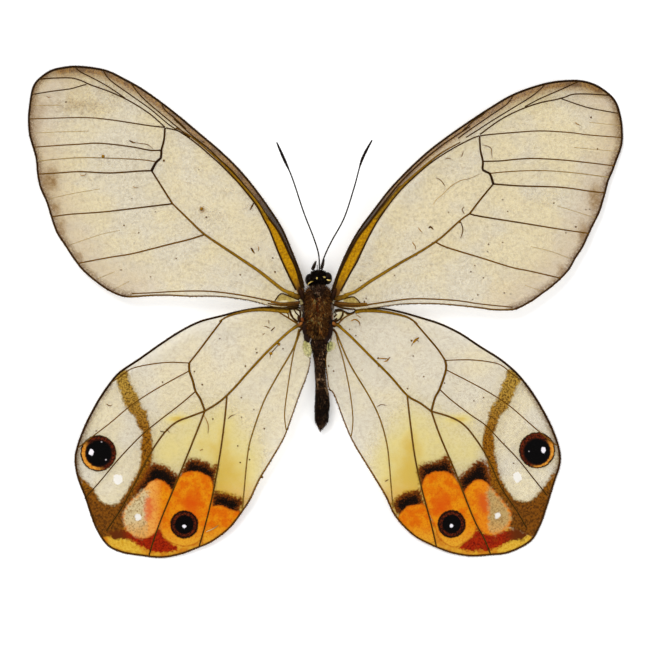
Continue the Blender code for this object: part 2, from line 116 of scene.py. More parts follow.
for name, place, power, size in (("key_light", (-0.35, 0.45, 0.75), 3.4, 0.35),
                                 ("fill_light", (0.55, -0.35, 0.7), 1.3, 0.6)):
    lamp_data = bpy.data.lights.new(name, "AREA")
    lamp_data.energy = power
    lamp_data.size = size
    lamp = bpy.data.objects.new(name, lamp_data)
    bpy.context.scene.collection.objects.link(lamp)
    lamp.location = place
    lamp.rotation_euler = (-Vector(place)).to_track_quat("-Z", "Y").to_euler()

bpy.ops.object.select_all(action="DESELECT")
CARD_SIZE, CARD_GAP = 3.0, 0.05 * MM
bpy.ops.mesh.primitive_plane_add(size=CARD_SIZE, location=(0.0, 0.0, -CARD_GAP))
floor = bpy.context.object
floor.name = "floor"
print("camera", round(camera.location.z, 3), "m above the specimen")

# %% [markdown]
# Materials. Colours are written as sRGB hex values and turned to linear by one function. One table
# gives each node a plain name, with its settings, the sockets that its values go to and the output
# that is read, and one small function adds any of them. Patterns are scaled in millimetres, so
# every material first turns Object coordinates to millimetres.

# %% Colour and node helpers


def linear(hex_colour):
    """An sRGB hex colour as linear RGBA."""
    parts = [int(hex_colour[i:i + 2], 16) / 255 for i in (1, 3, 5)]
    return tuple(c / 12.92 if c <= 0.04045 else ((c + 0.055) / 1.055) ** 2.4
                 for c in parts) + (1.0,)


NODES = {
    "object place": ("TexCoord", {}, (), "Object"),
    "scale": ("VectorMath", {"operation": "SCALE"}, (0, "Scale"), 0),
    "shift": ("VectorMath", {"operation": "SUBTRACT"}, (0, 1), 0),
    "stretch": ("VectorMath", {"operation": "MULTIPLY"}, (0, 1), 0),
    "length": ("VectorMath", {"operation": "LENGTH"}, (0,), "Value"),
    "dot": ("VectorMath", {"operation": "DOT_PRODUCT"}, (0, 1), "Value"),
    "x": ("SeparateXYZ", {}, (0,), "X"),
    "y": ("SeparateXYZ", {}, (0,), "Y"),
    "mix": ("Mix", {"data_type": "RGBA"}, (0, 6, 7), 2),
    "mix numbers": ("Mix", {"data_type": "FLOAT"}, (0, 2, 3), 0),
    "ramp": ("MapRange", {"interpolation_type": "SMOOTHSTEP"}, (0, 1, 2, 4), 0),
    "noise": ("TexNoise", {}, ("Vector", "Scale", "Detail", "Roughness"), "Fac"),
    "cells": ("TexVoronoi", {}, ("Vector", "Scale"), "Distance"),
    "bump": ("Bump", {}, ("Height", "Strength", "Distance"), "Normal"),
    "darken": ("HueSaturation", {}, ("Color", "Value"), 0),
    "tint": ("Attribute", {"attribute_name": "tint"}, (), "Color")}
for operation in ("add", "subtract", "multiply", "pingpong", "absolute"):
    NODES[operation] = ("Math", {"operation": operation.upper()}, (0, 1), 0)


def add(tree, name, *values):
    """Add a node by its plain name, fill or link its sockets in order, and return its output.

    A hex colour is turned to linear on its way in.
    """
    kind, settings, sockets, output = NODES[name]
    node = tree.nodes.new("ShaderNode" + kind)
    for key, value in settings.items():
        setattr(node, key, value)
    for socket, value in zip(sockets, values):
        if isinstance(value, bpy.types.NodeSocket):
            tree.links.new(value, node.inputs[socket])
        else:
            value = linear(value) if isinstance(value, str) else value
            node.inputs[socket].default_value = value
    return node.outputs[output]


def fade(tree, value, low, high, first, second, amount=1.0):
    """One colour turning to another, by some amount, while a value goes from low to high."""
    return add(tree, "mix", add(tree, "ramp", value, low, high, amount), first, second)


CHITIN_IOR = 1.56
LOW_SHINE = 0.04


def new_material(name, roughness, ior=CHITIN_IOR):
    """A dull material with its Principled shader, and Object coordinates in millimetres."""
    material = bpy.data.materials.new(name)
    material.use_nodes = True
    tree = material.node_tree
    shader = tree.nodes["Principled BSDF"]
    shader.inputs["Specular IOR Level"].default_value = LOW_SHINE
    shader.inputs["Roughness"].default_value = roughness
    shader.inputs["IOR"].default_value = ior
    return material, tree, shader, add(tree, "scale", add(tree, "object place"), 1.0 / MM)


def tinted_material(name, roughness, grain_mm, detail, fineness, low, high, dark):
    """A material in each piece's own tint, with darker specks whose grain has a real size."""
    material, tree, shader, place = new_material(name, roughness)
    tint = add(tree, "tint")
    speck = add(tree, "noise", place, 1.0 / grain_mm, detail, fineness)
    speck = add(tree, "ramp", speck, low, high)
    speckled = add(tree, "mix", speck, tint, add(tree, "darken", tint, dark))
    tree.links.new(speckled, shader.inputs["Base Color"])
    return material


print("white card is", [round(c, 2) for c in linear("#FFFFFF")])

# %% [markdown]
# The plain white card under the specimen. It is matt, and it glows a little, as a card lit from
# below does. That keeps the shadows beside the wings as faint as the photograph has them.

# %% The card
CARD_GLOW = 0.2
card, _, card_shader, _ = new_material("matt_white_card", 0.9, 1.5)
card_shader.inputs["Base Color"].default_value = linear("#FAFAFA")
card_shader.inputs["Specular IOR Level"].default_value = 0.1
card_shader.inputs["Emission Color"].default_value = linear("#FFFFFF")
card_shader.inputs["Emission Strength"].default_value = CARD_GLOW
floor.data.materials.append(card)
print("card colour set")

# %% [markdown]
# The shape of a wing. A wing is a stiff fan of veins with a thin skin between them. Each is traced
# as one outline, which starts where the front edge leaves the body and runs round the tip. The
# veins are traced as lines with a width in pixels at each end and a tint at each end.
# A wing droops from its root to its tip, by the same rule as its solid.

# %% Traced forewings
AMBER, OLIVE, DARK, BLACKISH = "#A87C14", "#6E4808", "#2A1602", "#1A0B02"
HONEY, FAINT = "#8A6820", "#B59A62"
WINGS = {}
WINGS["forewing_left"] = {
    "root": (303, 297),
    "root_height": 2.2,
    "reach": 34.6,
    "outline": [(303.8, 287.6), (300, 272.8), (290, 247.4), (280, 225.5), (260, 196),
        (240, 171.2), (220, 151.5), (200, 134.5), (180, 117.6), (160, 102), (140, 88), (120, 77),
        (110, 72), (100, 69), (86, 66.8), (73, 66.1), (60, 67.6), (50, 70.4), (40, 77),
        (33.5, 84.5), (30.8, 94), (28.7, 110), (28.2, 120), (29.5, 135), (33.8, 149.4),
        (36.4, 160), (37.5, 173), (40.5, 187.3), (46.6, 201), (51.7, 217), (57, 232),
        (65.4, 244.9), (74, 258), (84.4, 271), (99.7, 283.8), (110, 290.5), (120, 295),
        (130.5, 296.7), (151, 295.4), (170, 295.2), (190, 296.2), (220, 296.4), (250, 300.3),
        (270, 305.7), (283, 308), (297, 305.8), (304, 303), (304.6, 295)],
    "tip": 16,
    "corner": 37,
    "veins": [
        (2.6, 0.9, AMBER, OLIVE, [(267.5, 219), (257.5, 203.5), (247, 190.5), (230, 171.5),
            (210, 152.5), (190, 136), (176, 128)]),
        (1.7, 1.1, BLACKISH, DARK, [(296, 290), (289, 276), (279.5, 255), (270, 231),
            (265, 221.3), (257.7, 207.5), (249.5, 196.5), (240, 184.8), (230, 174.2),
            (220, 164.2), (210, 155.3), (200, 146.5), (190, 138.8), (180, 131.7), (166, 128)]),
        (2.4, 1.0, DARK, DARK, [(302, 288), (296, 268), (289.5, 254), (283.5, 241), (277.5, 230),
            (270.5, 220.5), (264.8, 213), (259.6, 204.5), (249, 191), (232, 171), (220, 160),
            (210, 150), (200, 142), (190, 133.8), (174, 119)]),
        (1.6, 2.6, DARK, DARK, [(165, 128), (164.1, 140.1), (161.5, 150.4), (161, 158),
            (156.4, 162.2), (151.8, 170.9)]),
        (3.6, 1.4, AMBER, OLIVE, [(294, 294), (284, 290.5), (270, 279.8), (260, 271.9),
            (250, 265), (230, 251.6), (205, 234.7), (189.9, 220.6), (172.8, 204)]),
        (1.7, 1.5, OLIVE, DARK, [(172.8, 204), (162, 187), (151.8, 170.9)]),
        (1.1, 0.8, DARK, OLIVE, [(165, 127.5), (150, 125.8), (130, 122.7), (110, 119.6),
            (84.6, 117.3), (50, 117.9), (29.5, 118.4)]),
        (1.3, 0.9, DARK, OLIVE, [(161.5, 150.4), (150, 150.4), (130, 146.6), (100, 143.2),
            (80, 144), (60, 145.1), (34, 146.8)]),
        (0.9, 0.7, OLIVE, FAINT, [(156.4, 162.2), (148.2, 160.6), (130, 159.1), (80, 157.6),
            (37, 160.8)]),
        (1.5, 1.0, DARK, OLIVE, [(151.8, 170.9), (140, 171.2), (110, 173), (80, 171.6),
            (60, 172.7), (38.5, 173.9)]),
        (1.4, 1.0, DARK, OLIVE, [(172.5, 204), (150, 206.6), (120, 210.2), (100, 212.3),
            (70, 214.3), (52, 216.7)]),
        (1.5, 1.0, OLIVE, OLIVE, [(205, 234.7), (190, 239.5), (170, 244.4), (150, 249.5),
            (130, 254.3), (110, 257.4), (79, 263.2)]),
        (1.4, 0.9, OLIVE, OLIVE, [(282, 303.5), (270, 301), (250, 296.8), (230, 293.5),
            (210, 291.4), (190, 291.1), (170, 291.8), (150, 293), (132, 293.5)]),
        (1.2, 1.1, DARK, DARK, [(165, 127.3), (150, 114), (130, 101.2), (110, 91.7),
            (90.8, 84.7), (80.5, 80.1), (70, 77.4), (50, 77.6), (38.5, 78.6)]),
        (1.0, 0.9, DARK, DARK, [(86, 84), (80, 85.6), (70, 88.3), (50, 90.9), (31.5, 93.9)]),
        (1.0, 1.0, DARK, DARK, [(75, 67), (80, 71.4), (90, 76.5), (107, 85.8), (125, 98)]),
        (1.0, 1.1, DARK, DARK, [(103, 70.5), (110, 79.9), (130, 94.5), (150, 108.8),
            (167.7, 123.7), (176, 129.4), (186, 136)]),
        (1.0, 1.1, DARK, DARK, [(131.5, 84), (140, 95), (150, 104.5), (160, 113), (178, 127.8),
            (190, 137.5)]),
        (1.0, 1.0, DARK, DARK, [(161.5, 103.5), (163.6, 108.3), (168.7, 113.5), (174, 117.6),
            (186, 129)]),
        (0.6, 0.5, FAINT, FAINT, [(88, 131), (60, 131.6), (34, 132.7)]),
        (0.6, 0.5, FAINT, FAINT, [(62, 104.7), (33, 105)]),
        (0.6, 0.6, FAINT, FAINT, [(100, 189), (70, 194), (48.7, 198.9)]),
        (0.5, 0.6, FAINT, FAINT, [(120, 230.5), (100, 234.8), (70, 244.9)]),
        (0.5, 0.5, FAINT, FAINT, [(115, 271.7), (98, 278.7)]),
        (0.5, 0.5, FAINT, FAINT, [(129.5, 281.3), (114, 289.5)])],
    "smudges": [(50, 180, 11, 16, 0.85), (55, 208, 6, 9, 0.8), (62, 227, 6, 10, 0.7),
        (79, 257, 6, 6, 0.7), (60, 82, 40, 14, 0.16), (36, 120, 8, 30, 0.4),
        (214, 216, 26, 12, 0.3), (203, 210, 4, 3, 1.0), (250, 207, 8, 6, 0.36),
        (228, 190, 14, 7, 0.26), (210, 238, 16, 8, 0.24), (80, 106, 44, 12, 0.5),
        (128, 88, 42, 9, 0.42), (95, 76, 26, 7, 0.3), (90, 274, 10, 5, 0.4)]}
WINGS["forewing_right"] = {
    "root": (332, 298),
    "root_height": 2.2,
    "reach": 34.6,
    "outline": [(331.8, 291.3), (340, 268.2), (350, 246.2), (360, 229.2), (375.2, 208.7),
        (390, 189.7), (410, 168.7), (430, 150.5), (450, 135.4), (470, 121.5), (490, 108.4),
        (510, 96.4), (530, 88.2), (550, 82.6), (566, 80.6), (580, 80.5), (590, 82.4), (600, 86.7),
        (610.5, 94.4), (616.6, 102), (620.3, 113.3), (622.3, 125), (622.6, 140), (620.3, 150.3),
        (616.7, 159.5), (612.5, 171), (608.5, 180), (605, 193), (600, 209.8), (595.8, 218.8),
        (590.2, 230), (582.7, 246.2), (575.2, 257.7), (567.7, 270.4), (554.4, 283.7),
        (540, 294.6), (530.8, 301), (520.4, 306.7), (512, 309.5), (493.8, 309.6), (480, 307.7),
        (460, 305.6), (440, 303.9), (420, 303.4), (400, 304.1), (380, 306.7), (362, 309),
        (350, 309.3), (338, 306.5), (331.6, 303), (331.2, 297)],
    "tip": 17,
    "corner": 38,
    "veins": [
        (3.0, 0.9, AMBER, OLIVE, [(375, 219), (385, 207), (400, 188.5), (420, 170), (440, 154),
            (460, 142.5)]),
        (1.7, 1.1, BLACKISH, DARK, [(340.5, 291.5), (345, 283), (350.5, 272.8), (356.5, 262.6),
            (360.8, 253.3), (365.6, 243), (370.6, 233.3), (376, 223.6), (383.8, 211.8),
            (390.4, 202.6), (400, 191), (410, 181), (430, 163.6), (450, 150.3), (470, 139.5),
            (479, 136)]),
        (2.4, 1.0, DARK, DARK, [(334, 289), (339.5, 271.8), (349.5, 251.3), (359, 235.4),
            (368.2, 224), (376.5, 212.5), (384, 203), (400, 183), (420, 163.5), (440, 147),
            (455, 136.5), (470, 126.5)]),
        (1.5, 2.4, DARK, DARK, [(479.5, 136), (480.3, 150.3), (482.8, 161.5), (482.8, 170.3),
            (489.5, 173.6), (493.1, 184.1)]),
        (3.4, 1.4, AMBER, OLIVE, [(344, 295.5), (355, 291.8), (370, 281.5), (380, 275.4),
            (400, 263.1), (420, 251.8), (440, 238.5), (460, 220.5), (469.5, 213.8)]),
        (1.7, 1.5, OLIVE, DARK, [(469.5, 213.8), (480, 200), (493.1, 184.1)]),
        (1.1, 0.8, DARK, OLIVE, [(479.5, 136), (490, 134.6), (510, 132.8), (540, 130.8),
            (570, 132.3), (590, 134.7), (622.5, 137)]),
        (1.2, 0.9, DARK, OLIVE, [(482.8, 161.5), (500, 161), (520, 159), (537.7, 158.5),
            (570, 160.5), (615.5, 165.6)]),
        (0.9, 0.7, OLIVE, FAINT, [(489.5, 173.6), (510, 171.6), (540, 170.5), (570, 172.3),
            (609.5, 177)]),
        (1.5, 1.0, DARK, OLIVE, [(493.1, 184.1), (520, 186), (560, 187.2), (590, 191),
            (605.3, 192.8)]),
        (1.4, 1.0, DARK, OLIVE, [(469.5, 214), (480, 216.5), (520, 222.8), (560, 229.2),
            (589, 233.3)]),
        (1.4, 1.0, OLIVE, OLIVE, [(436, 242.6), (447, 247.7), (480, 257.7), (511, 267.3),
            (530, 271.2), (560.5, 278.2)]),
        (1.4, 0.9, OLIVE, OLIVE, [(359, 306.5), (370, 304.4), (400, 300), (416, 298.8),
            (440, 299.5), (460, 301), (480, 304), (513, 307.3)]),
        (1.2, 1.1, DARK, DARK, [(480, 134.4), (500, 120), (520, 109.7), (540, 102.6),
            (556, 99.3), (566.4, 96.4), (573.6, 93.8), (590, 93.5), (610, 94.7)]),
        (1.0, 0.9, DARK, DARK, [(562, 98.4), (570, 101.2), (590, 107.5), (620, 112.9)]),
        (1.0, 1.0, DARK, DARK, [(580, 80.5), (560, 89.7), (540, 98.5), (525, 106.5)]),
        (1.0, 1.1, DARK, DARK, [(546, 83.5), (533.6, 94.9), (510, 109.7), (490, 122),
            (480, 128.7), (466, 137.5)]),
        (1.0, 1.1, DARK, DARK, [(513.5, 95), (506.9, 104.1), (490, 115.9), (470, 129.7),
            (458, 138.5)]),
        (1.0, 1.0, DARK, DARK, [(488, 109.5), (482, 115.5), (474, 120.5), (462, 131.5)]),
        (0.6, 0.5, FAINT, FAINT, [(574.6, 147.2), (592, 148.9), (620, 151)]),
        (0.6, 0.5, FAINT, FAINT, [(590, 122), (621.8, 125.1)]),
        (0.6, 0.6, FAINT, FAINT, [(558, 206), (583, 213.8), (597, 218)]),
        (0.5, 0.6, FAINT, FAINT, [(530.8, 246.7), (550.4, 251.3), (574, 260)]),
        (0.5, 0.5, FAINT, FAINT, [(525, 285.4), (544, 291.6)])],
    "smudges": [(595, 197, 7, 16, 0.85), (583, 233, 6, 14, 0.75), (561, 269, 6, 7, 0.6),
        (588, 92, 34, 12, 0.26), (616, 125, 8, 24, 0.4), (575, 108, 38, 8, 0.18),
        (562, 85, 14, 3, 0.8), (486, 110, 18, 6, 0.6), (530, 97, 34, 9, 0.42),
        (540, 289, 12, 5, 0.35), (540, 200, 40, 24, 0.24)]}
print("traced", sum(len(w["veins"]) for w in WINGS.values()), "forewing veins")

# %% [markdown]
# The hindwings are traced in the same way: the outline from the front of the root round to the
# body, then the veins with their widths and tints, and the soft smudges on the skin.

# %% Traced hindwings
WINGS["hindwing_left"] = {
    "root": (302, 322),
    "root_height": 1.75,
    "reach": 27.6,
    "outline": [(301, 308.5), (290, 308.2), (275, 307.4), (260, 307.9), (240, 311.3),
        (220, 316.4), (200, 321.7), (180, 331.6), (160, 344.6), (140, 358.7), (120, 372.3),
        (110, 383.6), (100, 397.9), (91, 413.8), (83.8, 428.7), (78.2, 443.6), (74.8, 459),
        (77.5, 477.7), (85, 497.3), (90.2, 513.5), (97, 530.8), (107.5, 545.8), (122, 552.7),
        (141.5, 555.9), (161.2, 557.7), (179.6, 554.4), (198, 547.5), (212, 541.2),
        (229.2, 527.9), (242, 511.2), (250, 499), (258.9, 479.9), (271.5, 458.9), (283.8, 437.5),
        (290.6, 419.2), (300, 392.3), (305, 379.8), (309.3, 365.4), (309.6, 357), (307, 349),
        (304.6, 340), (304, 330), (303.6, 318)],
    "tip": 11,
    "corner": 30,
    "veins": [
        (4.4, 1.3, AMBER, OLIVE, [(289, 311.5), (275, 310.3), (260, 309.8), (245, 311.5),
            (229, 316), (219.4, 321.5)]),
        (1.6, 1.6, OLIVE, OLIVE, [(222, 320.5), (210, 336.1), (200, 349.5), (189.3, 363)]),
        (2.2, 2.0, OLIVE, OLIVE, [(189.3, 363), (189.5, 370.8), (193, 381), (195.6, 391.3),
            (200.3, 398.5), (204.9, 411)]),
        (0.9, 0.9, OLIVE, OLIVE, [(189.3, 363), (170, 362.3), (150, 364.4), (131.5, 368.7),
            (120.3, 376.4), (111, 382.6)]),
        (1.0, 0.9, OLIVE, OLIVE, [(189.5, 370.8), (170, 381.3), (150, 392.8), (130, 406.2),
            (110, 423), (90.5, 437.9), (77.5, 448)]),
        (1.1, 1.0, OLIVE, DARK, [(195.6, 391.3), (180, 404.6), (160, 420), (141.8, 434.9),
            (120, 457.4), (100, 481.2), (84, 499)]),
        (1.7, 1.2, OLIVE, DARK, [(204.9, 411), (190, 416.6), (176.7, 422), (164.4, 432.8),
            (150.5, 453), (134, 484.6), (120.8, 508.8), (106, 531)]),
        (1.7, 1.2, OLIVE, DARK, [(204.9, 411), (196.2, 433.3), (179.6, 474.2), (162.3, 515.8),
            (154.2, 537.7), (148.5, 556)]),
        (2.6, 1.8, AMBER, OLIVE, [(297, 326), (290, 330.8), (270, 349), (250, 370.2),
            (233.8, 388.5), (220, 401.4), (204.9, 411)]),
        (1.6, 1.2, OLIVE, DARK, [(227, 396.2), (225.2, 415.4), (221, 448), (214.2, 486.9),
            (206.7, 519.2), (199, 546.5)]),
        (1.6, 1.0, HONEY, HONEY, [(299, 329), (293.5, 348), (276.2, 377.9), (263.7, 401.9),
            (253, 431.7), (248, 452), (244.2, 489.2), (242.5, 509)]),
        (1.2, 0.9, HONEY, HONEY, [(300, 333), (294, 351), (288.7, 381.7), (284.8, 410.6),
            (285.3, 424), (286.5, 430)]),
        (1.6, 1.2, OLIVE, OLIVE, [(298, 324), (286, 316.5), (279, 312.3)]),
        (1.3, 1.0, OLIVE, OLIVE, [(289.5, 309), (290.5, 315), (295, 320.5)]),
        (1.0, 1.0, OLIVE, OLIVE, [(281, 311.5), (286, 311), (288.5, 315), (289, 318)])],
    "smudges": [(243, 503, 4, 8, 0.6), (284, 311, 7, 4, 0.2)]}
WINGS["hindwing_right"] = {
    "root": (333, 322),
    "root_height": 1.75,
    "reach": 27.6,
    "outline": [(335, 310.5), (341, 309.8), (345.5, 312.5), (351, 313.6), (360, 309.6),
        (380, 308.4), (400, 312), (420, 317.6), (440, 324), (460, 333.6), (480, 346.7),
        (500, 359.3), (515, 371.8), (525.4, 383.6), (535.6, 397.9), (546, 415.9), (554, 432.8),
        (559.7, 450.8), (560, 465), (554.2, 483.3), (547.5, 505.3), (540.2, 526), (530.4, 541.8),
        (509, 552.8), (489.6, 555.2), (470, 556.2), (449.4, 552.2), (428.7, 543.6), (413, 534.5),
        (395.8, 516.2), (385, 494.3), (368.3, 466.7), (353.8, 442.6), (344.6, 422),
        (334.4, 394.4), (329.2, 388.2), (327.7, 378), (326, 363), (326.6, 355), (329.5, 347),
        (331.4, 338), (331.8, 326), (332.2, 316)],
    "tip": 13,
    "corner": 30,
    "veins": [
        (4.0, 1.3, AMBER, OLIVE, [(355, 312), (362, 310.6), (376, 311), (390, 312.8),
            (407.2, 317.2), (417.4, 324)]),
        (1.6, 1.6, OLIVE, OLIVE, [(414, 321.5), (430, 340), (438, 349.7), (445, 360.3)]),
        (2.2, 2.0, OLIVE, OLIVE, [(445, 360.3), (445.9, 369.7), (439.5, 389.2), (435, 397.4),
            (431.3, 411.3)]),
        (0.9, 0.9, OLIVE, OLIVE, [(445, 360.3), (470, 359.8), (490, 362), (501.8, 365.6),
            (514, 375.4), (523, 381)]),
        (1.0, 0.9, OLIVE, OLIVE, [(445.9, 369.7), (470, 382), (490, 393), (510, 406.2),
            (530, 423.6), (550, 440.5), (558.5, 446)]),
        (1.1, 1.0, OLIVE, DARK, [(439.6, 389.2), (450, 399), (470, 414.4), (486, 425.6),
            (502, 442.4), (518, 459), (534.7, 479.7), (548, 496)]),
        (1.7, 1.2, OLIVE, DARK, [(431.3, 411.3), (450, 416.9), (463.6, 424.6), (475, 437.9),
            (487.3, 457.3), (501.8, 488.2), (516.4, 510), (527, 528)]),
        (1.7, 1.2, OLIVE, DARK, [(431.3, 411.3), (440, 435.8), (455.5, 472.4), (473.8, 518.7),
            (484.7, 539.4), (491.5, 556)]),
        (2.6, 1.8, AMBER, OLIVE, [(338, 325.5), (350, 335.9), (370, 355.9), (390, 375.9),
            (407.2, 395.4), (420, 403), (431.3, 411.3)]),
        (1.6, 1.2, OLIVE, DARK, [(407.2, 396), (410.8, 427.2), (415.3, 459), (422.6, 491.9),
            (430.5, 521), (436.5, 546.5)]),
        (1.6, 1.0, HONEY, HONEY, [(336, 332), (349.7, 363.6), (369.2, 396.4), (380, 419),
            (386.9, 444), (389.5, 466.3), (391, 484.6), (393, 507)]),
        (1.2, 0.9, HONEY, HONEY, [(336.5, 338), (343.6, 361.5), (350, 392.3), (352.8, 416),
            (352.4, 428), (351, 437)]),
        (1.6, 1.2, OLIVE, OLIVE, [(338, 324), (344.5, 317.5), (354, 313)]),
        (1.3, 1.0, OLIVE, OLIVE, [(343.5, 310.5), (343, 315), (340, 320)]),
        (1.0, 1.0, OLIVE, OLIVE, [(345, 312.5), (347, 314.5), (351, 314.3)])],
    "smudges": [(391, 500, 4, 8, 0.6), (385, 331, 30, 4, 0.3)]}
print("traced", sum(len(w["veins"]) for w in WINGS.values()), "veins in all")

# %% [markdown]
# Where a wing meets the body its veins run together into thick dark struts. They are traced in
# the same way and join the veins.

# %% Struts of the wing bases
UMBER = "#3A1E0C"
STRUTS = {
    "forewing_left": [
        (6.0, 3.4, BLACKISH, UMBER, [(304, 301), (301.5, 294), (299, 287)]),
        (6.4, 3.0, "#4A2A0A", AMBER, [(301, 298), (294, 295.5), (286, 292)]),
        (1.4, 1.0, BLACKISH, DARK, [(299, 300), (290, 296.5), (281, 293.8), (275, 301)]),
        (3.2, 1.6, "#5A3410", "#8A5E1C", [(300, 302.4), (291, 303.4), (281, 303.6), (271, 302)]),
        (1.5, 1.2, UMBER, OLIVE, [(299, 304.6), (290, 305.6), (280, 305.4), (268, 303.6)]),
        (2.0, 1.4, BLACKISH, DARK, [(299, 305.7), (291, 306.6), (284, 308.3), (274, 307.3)])],
    "forewing_right": [
        (6.0, 3.4, BLACKISH, UMBER, [(331, 302), (333.5, 294), (336, 288)]),
        (6.4, 3.0, "#4A2A0A", AMBER, [(334, 299.5), (342, 297.5), (350, 294.5)]),
        (1.4, 1.0, BLACKISH, DARK, [(336, 300.5), (345, 298.6), (354, 297), (360, 303)]),
        (3.8, 2.0, "#5A3410", "#8A5E1C", [(334, 302.8), (344, 303.8), (355, 304.4),
            (367, 303.6)]),
        (1.6, 1.3, UMBER, OLIVE, [(335, 305.2), (345, 306.2), (356, 306.6), (368, 305.2)]),
        (1.8, 1.4, BLACKISH, DARK, [(333, 304.5), (341, 307.6), (347, 308.7), (355, 309.3)])],
    "hindwing_left": [
        (1.7, 1.7, DARK, UMBER, [(299, 321), (300.5, 315), (300, 311), (296, 308.8), (292, 309),
            (290, 310), (291, 314), (293, 318), (298, 322)]),
        (1.2, 1.2, UMBER, DARK, [(294, 309.5), (296, 313), (299, 316)]),
        (5.0, 3.4, BLACKISH, UMBER, [(303.5, 327), (300.5, 321), (298, 316)]),
        (4.4, 2.6, UMBER, AMBER, [(303, 326), (298, 325.5), (292, 329.5)]),
        (2.2, 1.6, UMBER, OLIVE, [(302, 328), (299, 332), (297, 340)])],
    "hindwing_right": [
        (1.7, 1.7, DARK, UMBER, [(336, 321.5), (340, 319), (342.5, 315), (342.8, 311),
            (338.5, 310.8), (334.5, 312.5), (336.5, 314.5), (334, 317)]),
        (5.0, 3.4, BLACKISH, UMBER, [(332.4, 327), (334.5, 321.5), (337, 318)]),
        (4.4, 2.6, UMBER, AMBER, [(333, 325.5), (337, 324.5), (342, 328.5)]),
        (2.2, 1.6, UMBER, OLIVE, [(333, 329), (336, 333), (338, 340)])]}
for name, struts in STRUTS.items():
    WINGS[name]["veins"] += struts
print("struts:", sum(len(s) for s in STRUTS.values()))

# %% [markdown]
# The markings of the hindwings are patches of tiny coloured scales. Each patch is traced as a ring
# of points. On the mesh it becomes an attribute that holds, at every point, how far inside the
# patch it lies in millimetres. The material then turns the distance into a soft, ragged edge.

# %% Traced patches
PATCHES = {
    "hindwing_left": {
        "cream": [(278, 311), (289, 309.5), (292, 308.5), (299, 308.5), (300.5, 314), (296, 319),
            (291, 319.5), (284, 315.5)],
        "hem": [(101, 539), (113, 536), (121, 532), (127, 525), (145, 520), (160, 519),
            (165, 528), (180, 535), (198, 530), (205, 520), (212, 526), (214, 545), (190, 555),
            (161, 561), (120, 556), (100, 546)],
        "band": [(121, 371), (127.4, 371.8), (129, 382), (134.6, 392.3), (138.7, 400.5),
            (140.8, 408.7), (146.4, 411.8), (146, 418), (149, 424), (150.5, 432.3), (152, 443.6),
            (152, 452), (150.8, 463), (144, 490), (138, 496), (130, 503), (124.5, 512),
            (123.5, 520), (127, 528), (120, 536), (107, 541), (101, 538), (94, 523), (90, 513.5),
            (85, 497.3), (77.5, 478), (81.5, 480), (87.3, 484.6), (93, 491.5), (97.7, 499.6),
            (104.6, 504.8), (113.3, 506), (120.2, 502), (125.4, 493.8), (130, 485.8),
            (135.8, 476.5), (140.4, 466.2), (141.4, 459.5), (141, 445.6), (142.8, 432.3),
            (137.7, 425), (135.6, 416.9), (128.5, 409.7), (123.3, 399.5), (120.3, 390.3),
            (116.7, 381), (113, 378)],
        "black": [
            [(146, 470), (150.8, 463), (160, 464), (168, 467), (175, 473), (180, 476),
                (179, 484), (172, 497), (165.8, 492), (160, 487), (154.2, 487), (148, 492),
                (143, 499), (137, 498), (134, 490), (140, 480)],
            [(185.4, 461.5), (192.3, 457.5), (200.4, 459.8), (208.5, 462), (212, 466),
                (218, 463), (217, 476), (214, 492), (209, 488), (204, 481), (197, 479),
                (189, 479), (183, 482), (178, 486), (181, 470)],
            [(214, 491), (220, 491.5), (228, 493), (236, 496), (244, 499), (240, 512),
                (235, 516), (228, 514), (223, 511), (217, 511), (210, 512), (211, 498)]],
        "orange": [
            [(143.8, 490.4), (149.6, 483.5), (154.2, 481.2), (161.2, 481.2), (165.8, 485.2),
                (170.4, 490.4), (168, 502), (163, 515), (159.5, 523), (156, 530), (150, 536),
                (143, 538), (135, 536), (128, 531), (123.5, 520), (124.5, 512), (130, 503),
                (138, 496)],
            [(179.6, 478.8), (184.2, 473.7), (191.2, 472.5), (200.4, 473.3), (208.5, 477.7),
                (212, 484.6), (212, 495), (210, 510), (205, 525), (201.5, 537), (195, 543),
                (185, 546), (175, 544), (166, 539), (161, 530), (161, 520), (166, 508),
                (172, 493)],
            [(210, 508), (222, 507), (230, 511), (239, 513), (236, 519), (229, 528), (220, 536),
                (212, 541), (203, 545), (207, 519)]],
        "pale": [(143.8, 490.4), (138, 496), (130, 503), (124.5, 512), (123.5, 520), (128, 531),
            (135, 536), (143, 538), (147, 530), (146, 518), (146, 505), (149, 493)],
        "crimson": [(110, 535), (119, 532.5), (128, 533), (135, 537), (143, 539), (151, 537),
            (157, 531), (160, 531), (163, 540), (170, 545), (176, 549), (170, 551), (155, 551),
            (147, 549), (140, 545), (133, 541), (124, 538), (112, 538.5)],
        "yellow_strip": [(107, 541), (113, 538), (122, 537.5), (129, 540), (136, 545),
            (142, 551), (140, 555), (128, 553), (117, 549), (109, 545)],
        "red_stripe": [(147, 498), (151, 500), (150, 518), (146, 520)],
        "root_lobe": [(303, 341), (306, 345), (309, 351), (311, 357), (306, 356), (303, 350)],
        "yellow": [(224, 478, 22, 62, 1.0), (200, 452, 22, 42, 0.6), (177, 419, 15, 5, 1.0),
            (178, 450, 22, 34, 0.55), (248, 478, 24, 58, 0.75), (212, 424, 26, 26, 0.3),
            (162, 450, 14, 22, 0.55), (223, 462, 7, 40, 0.7)]}}
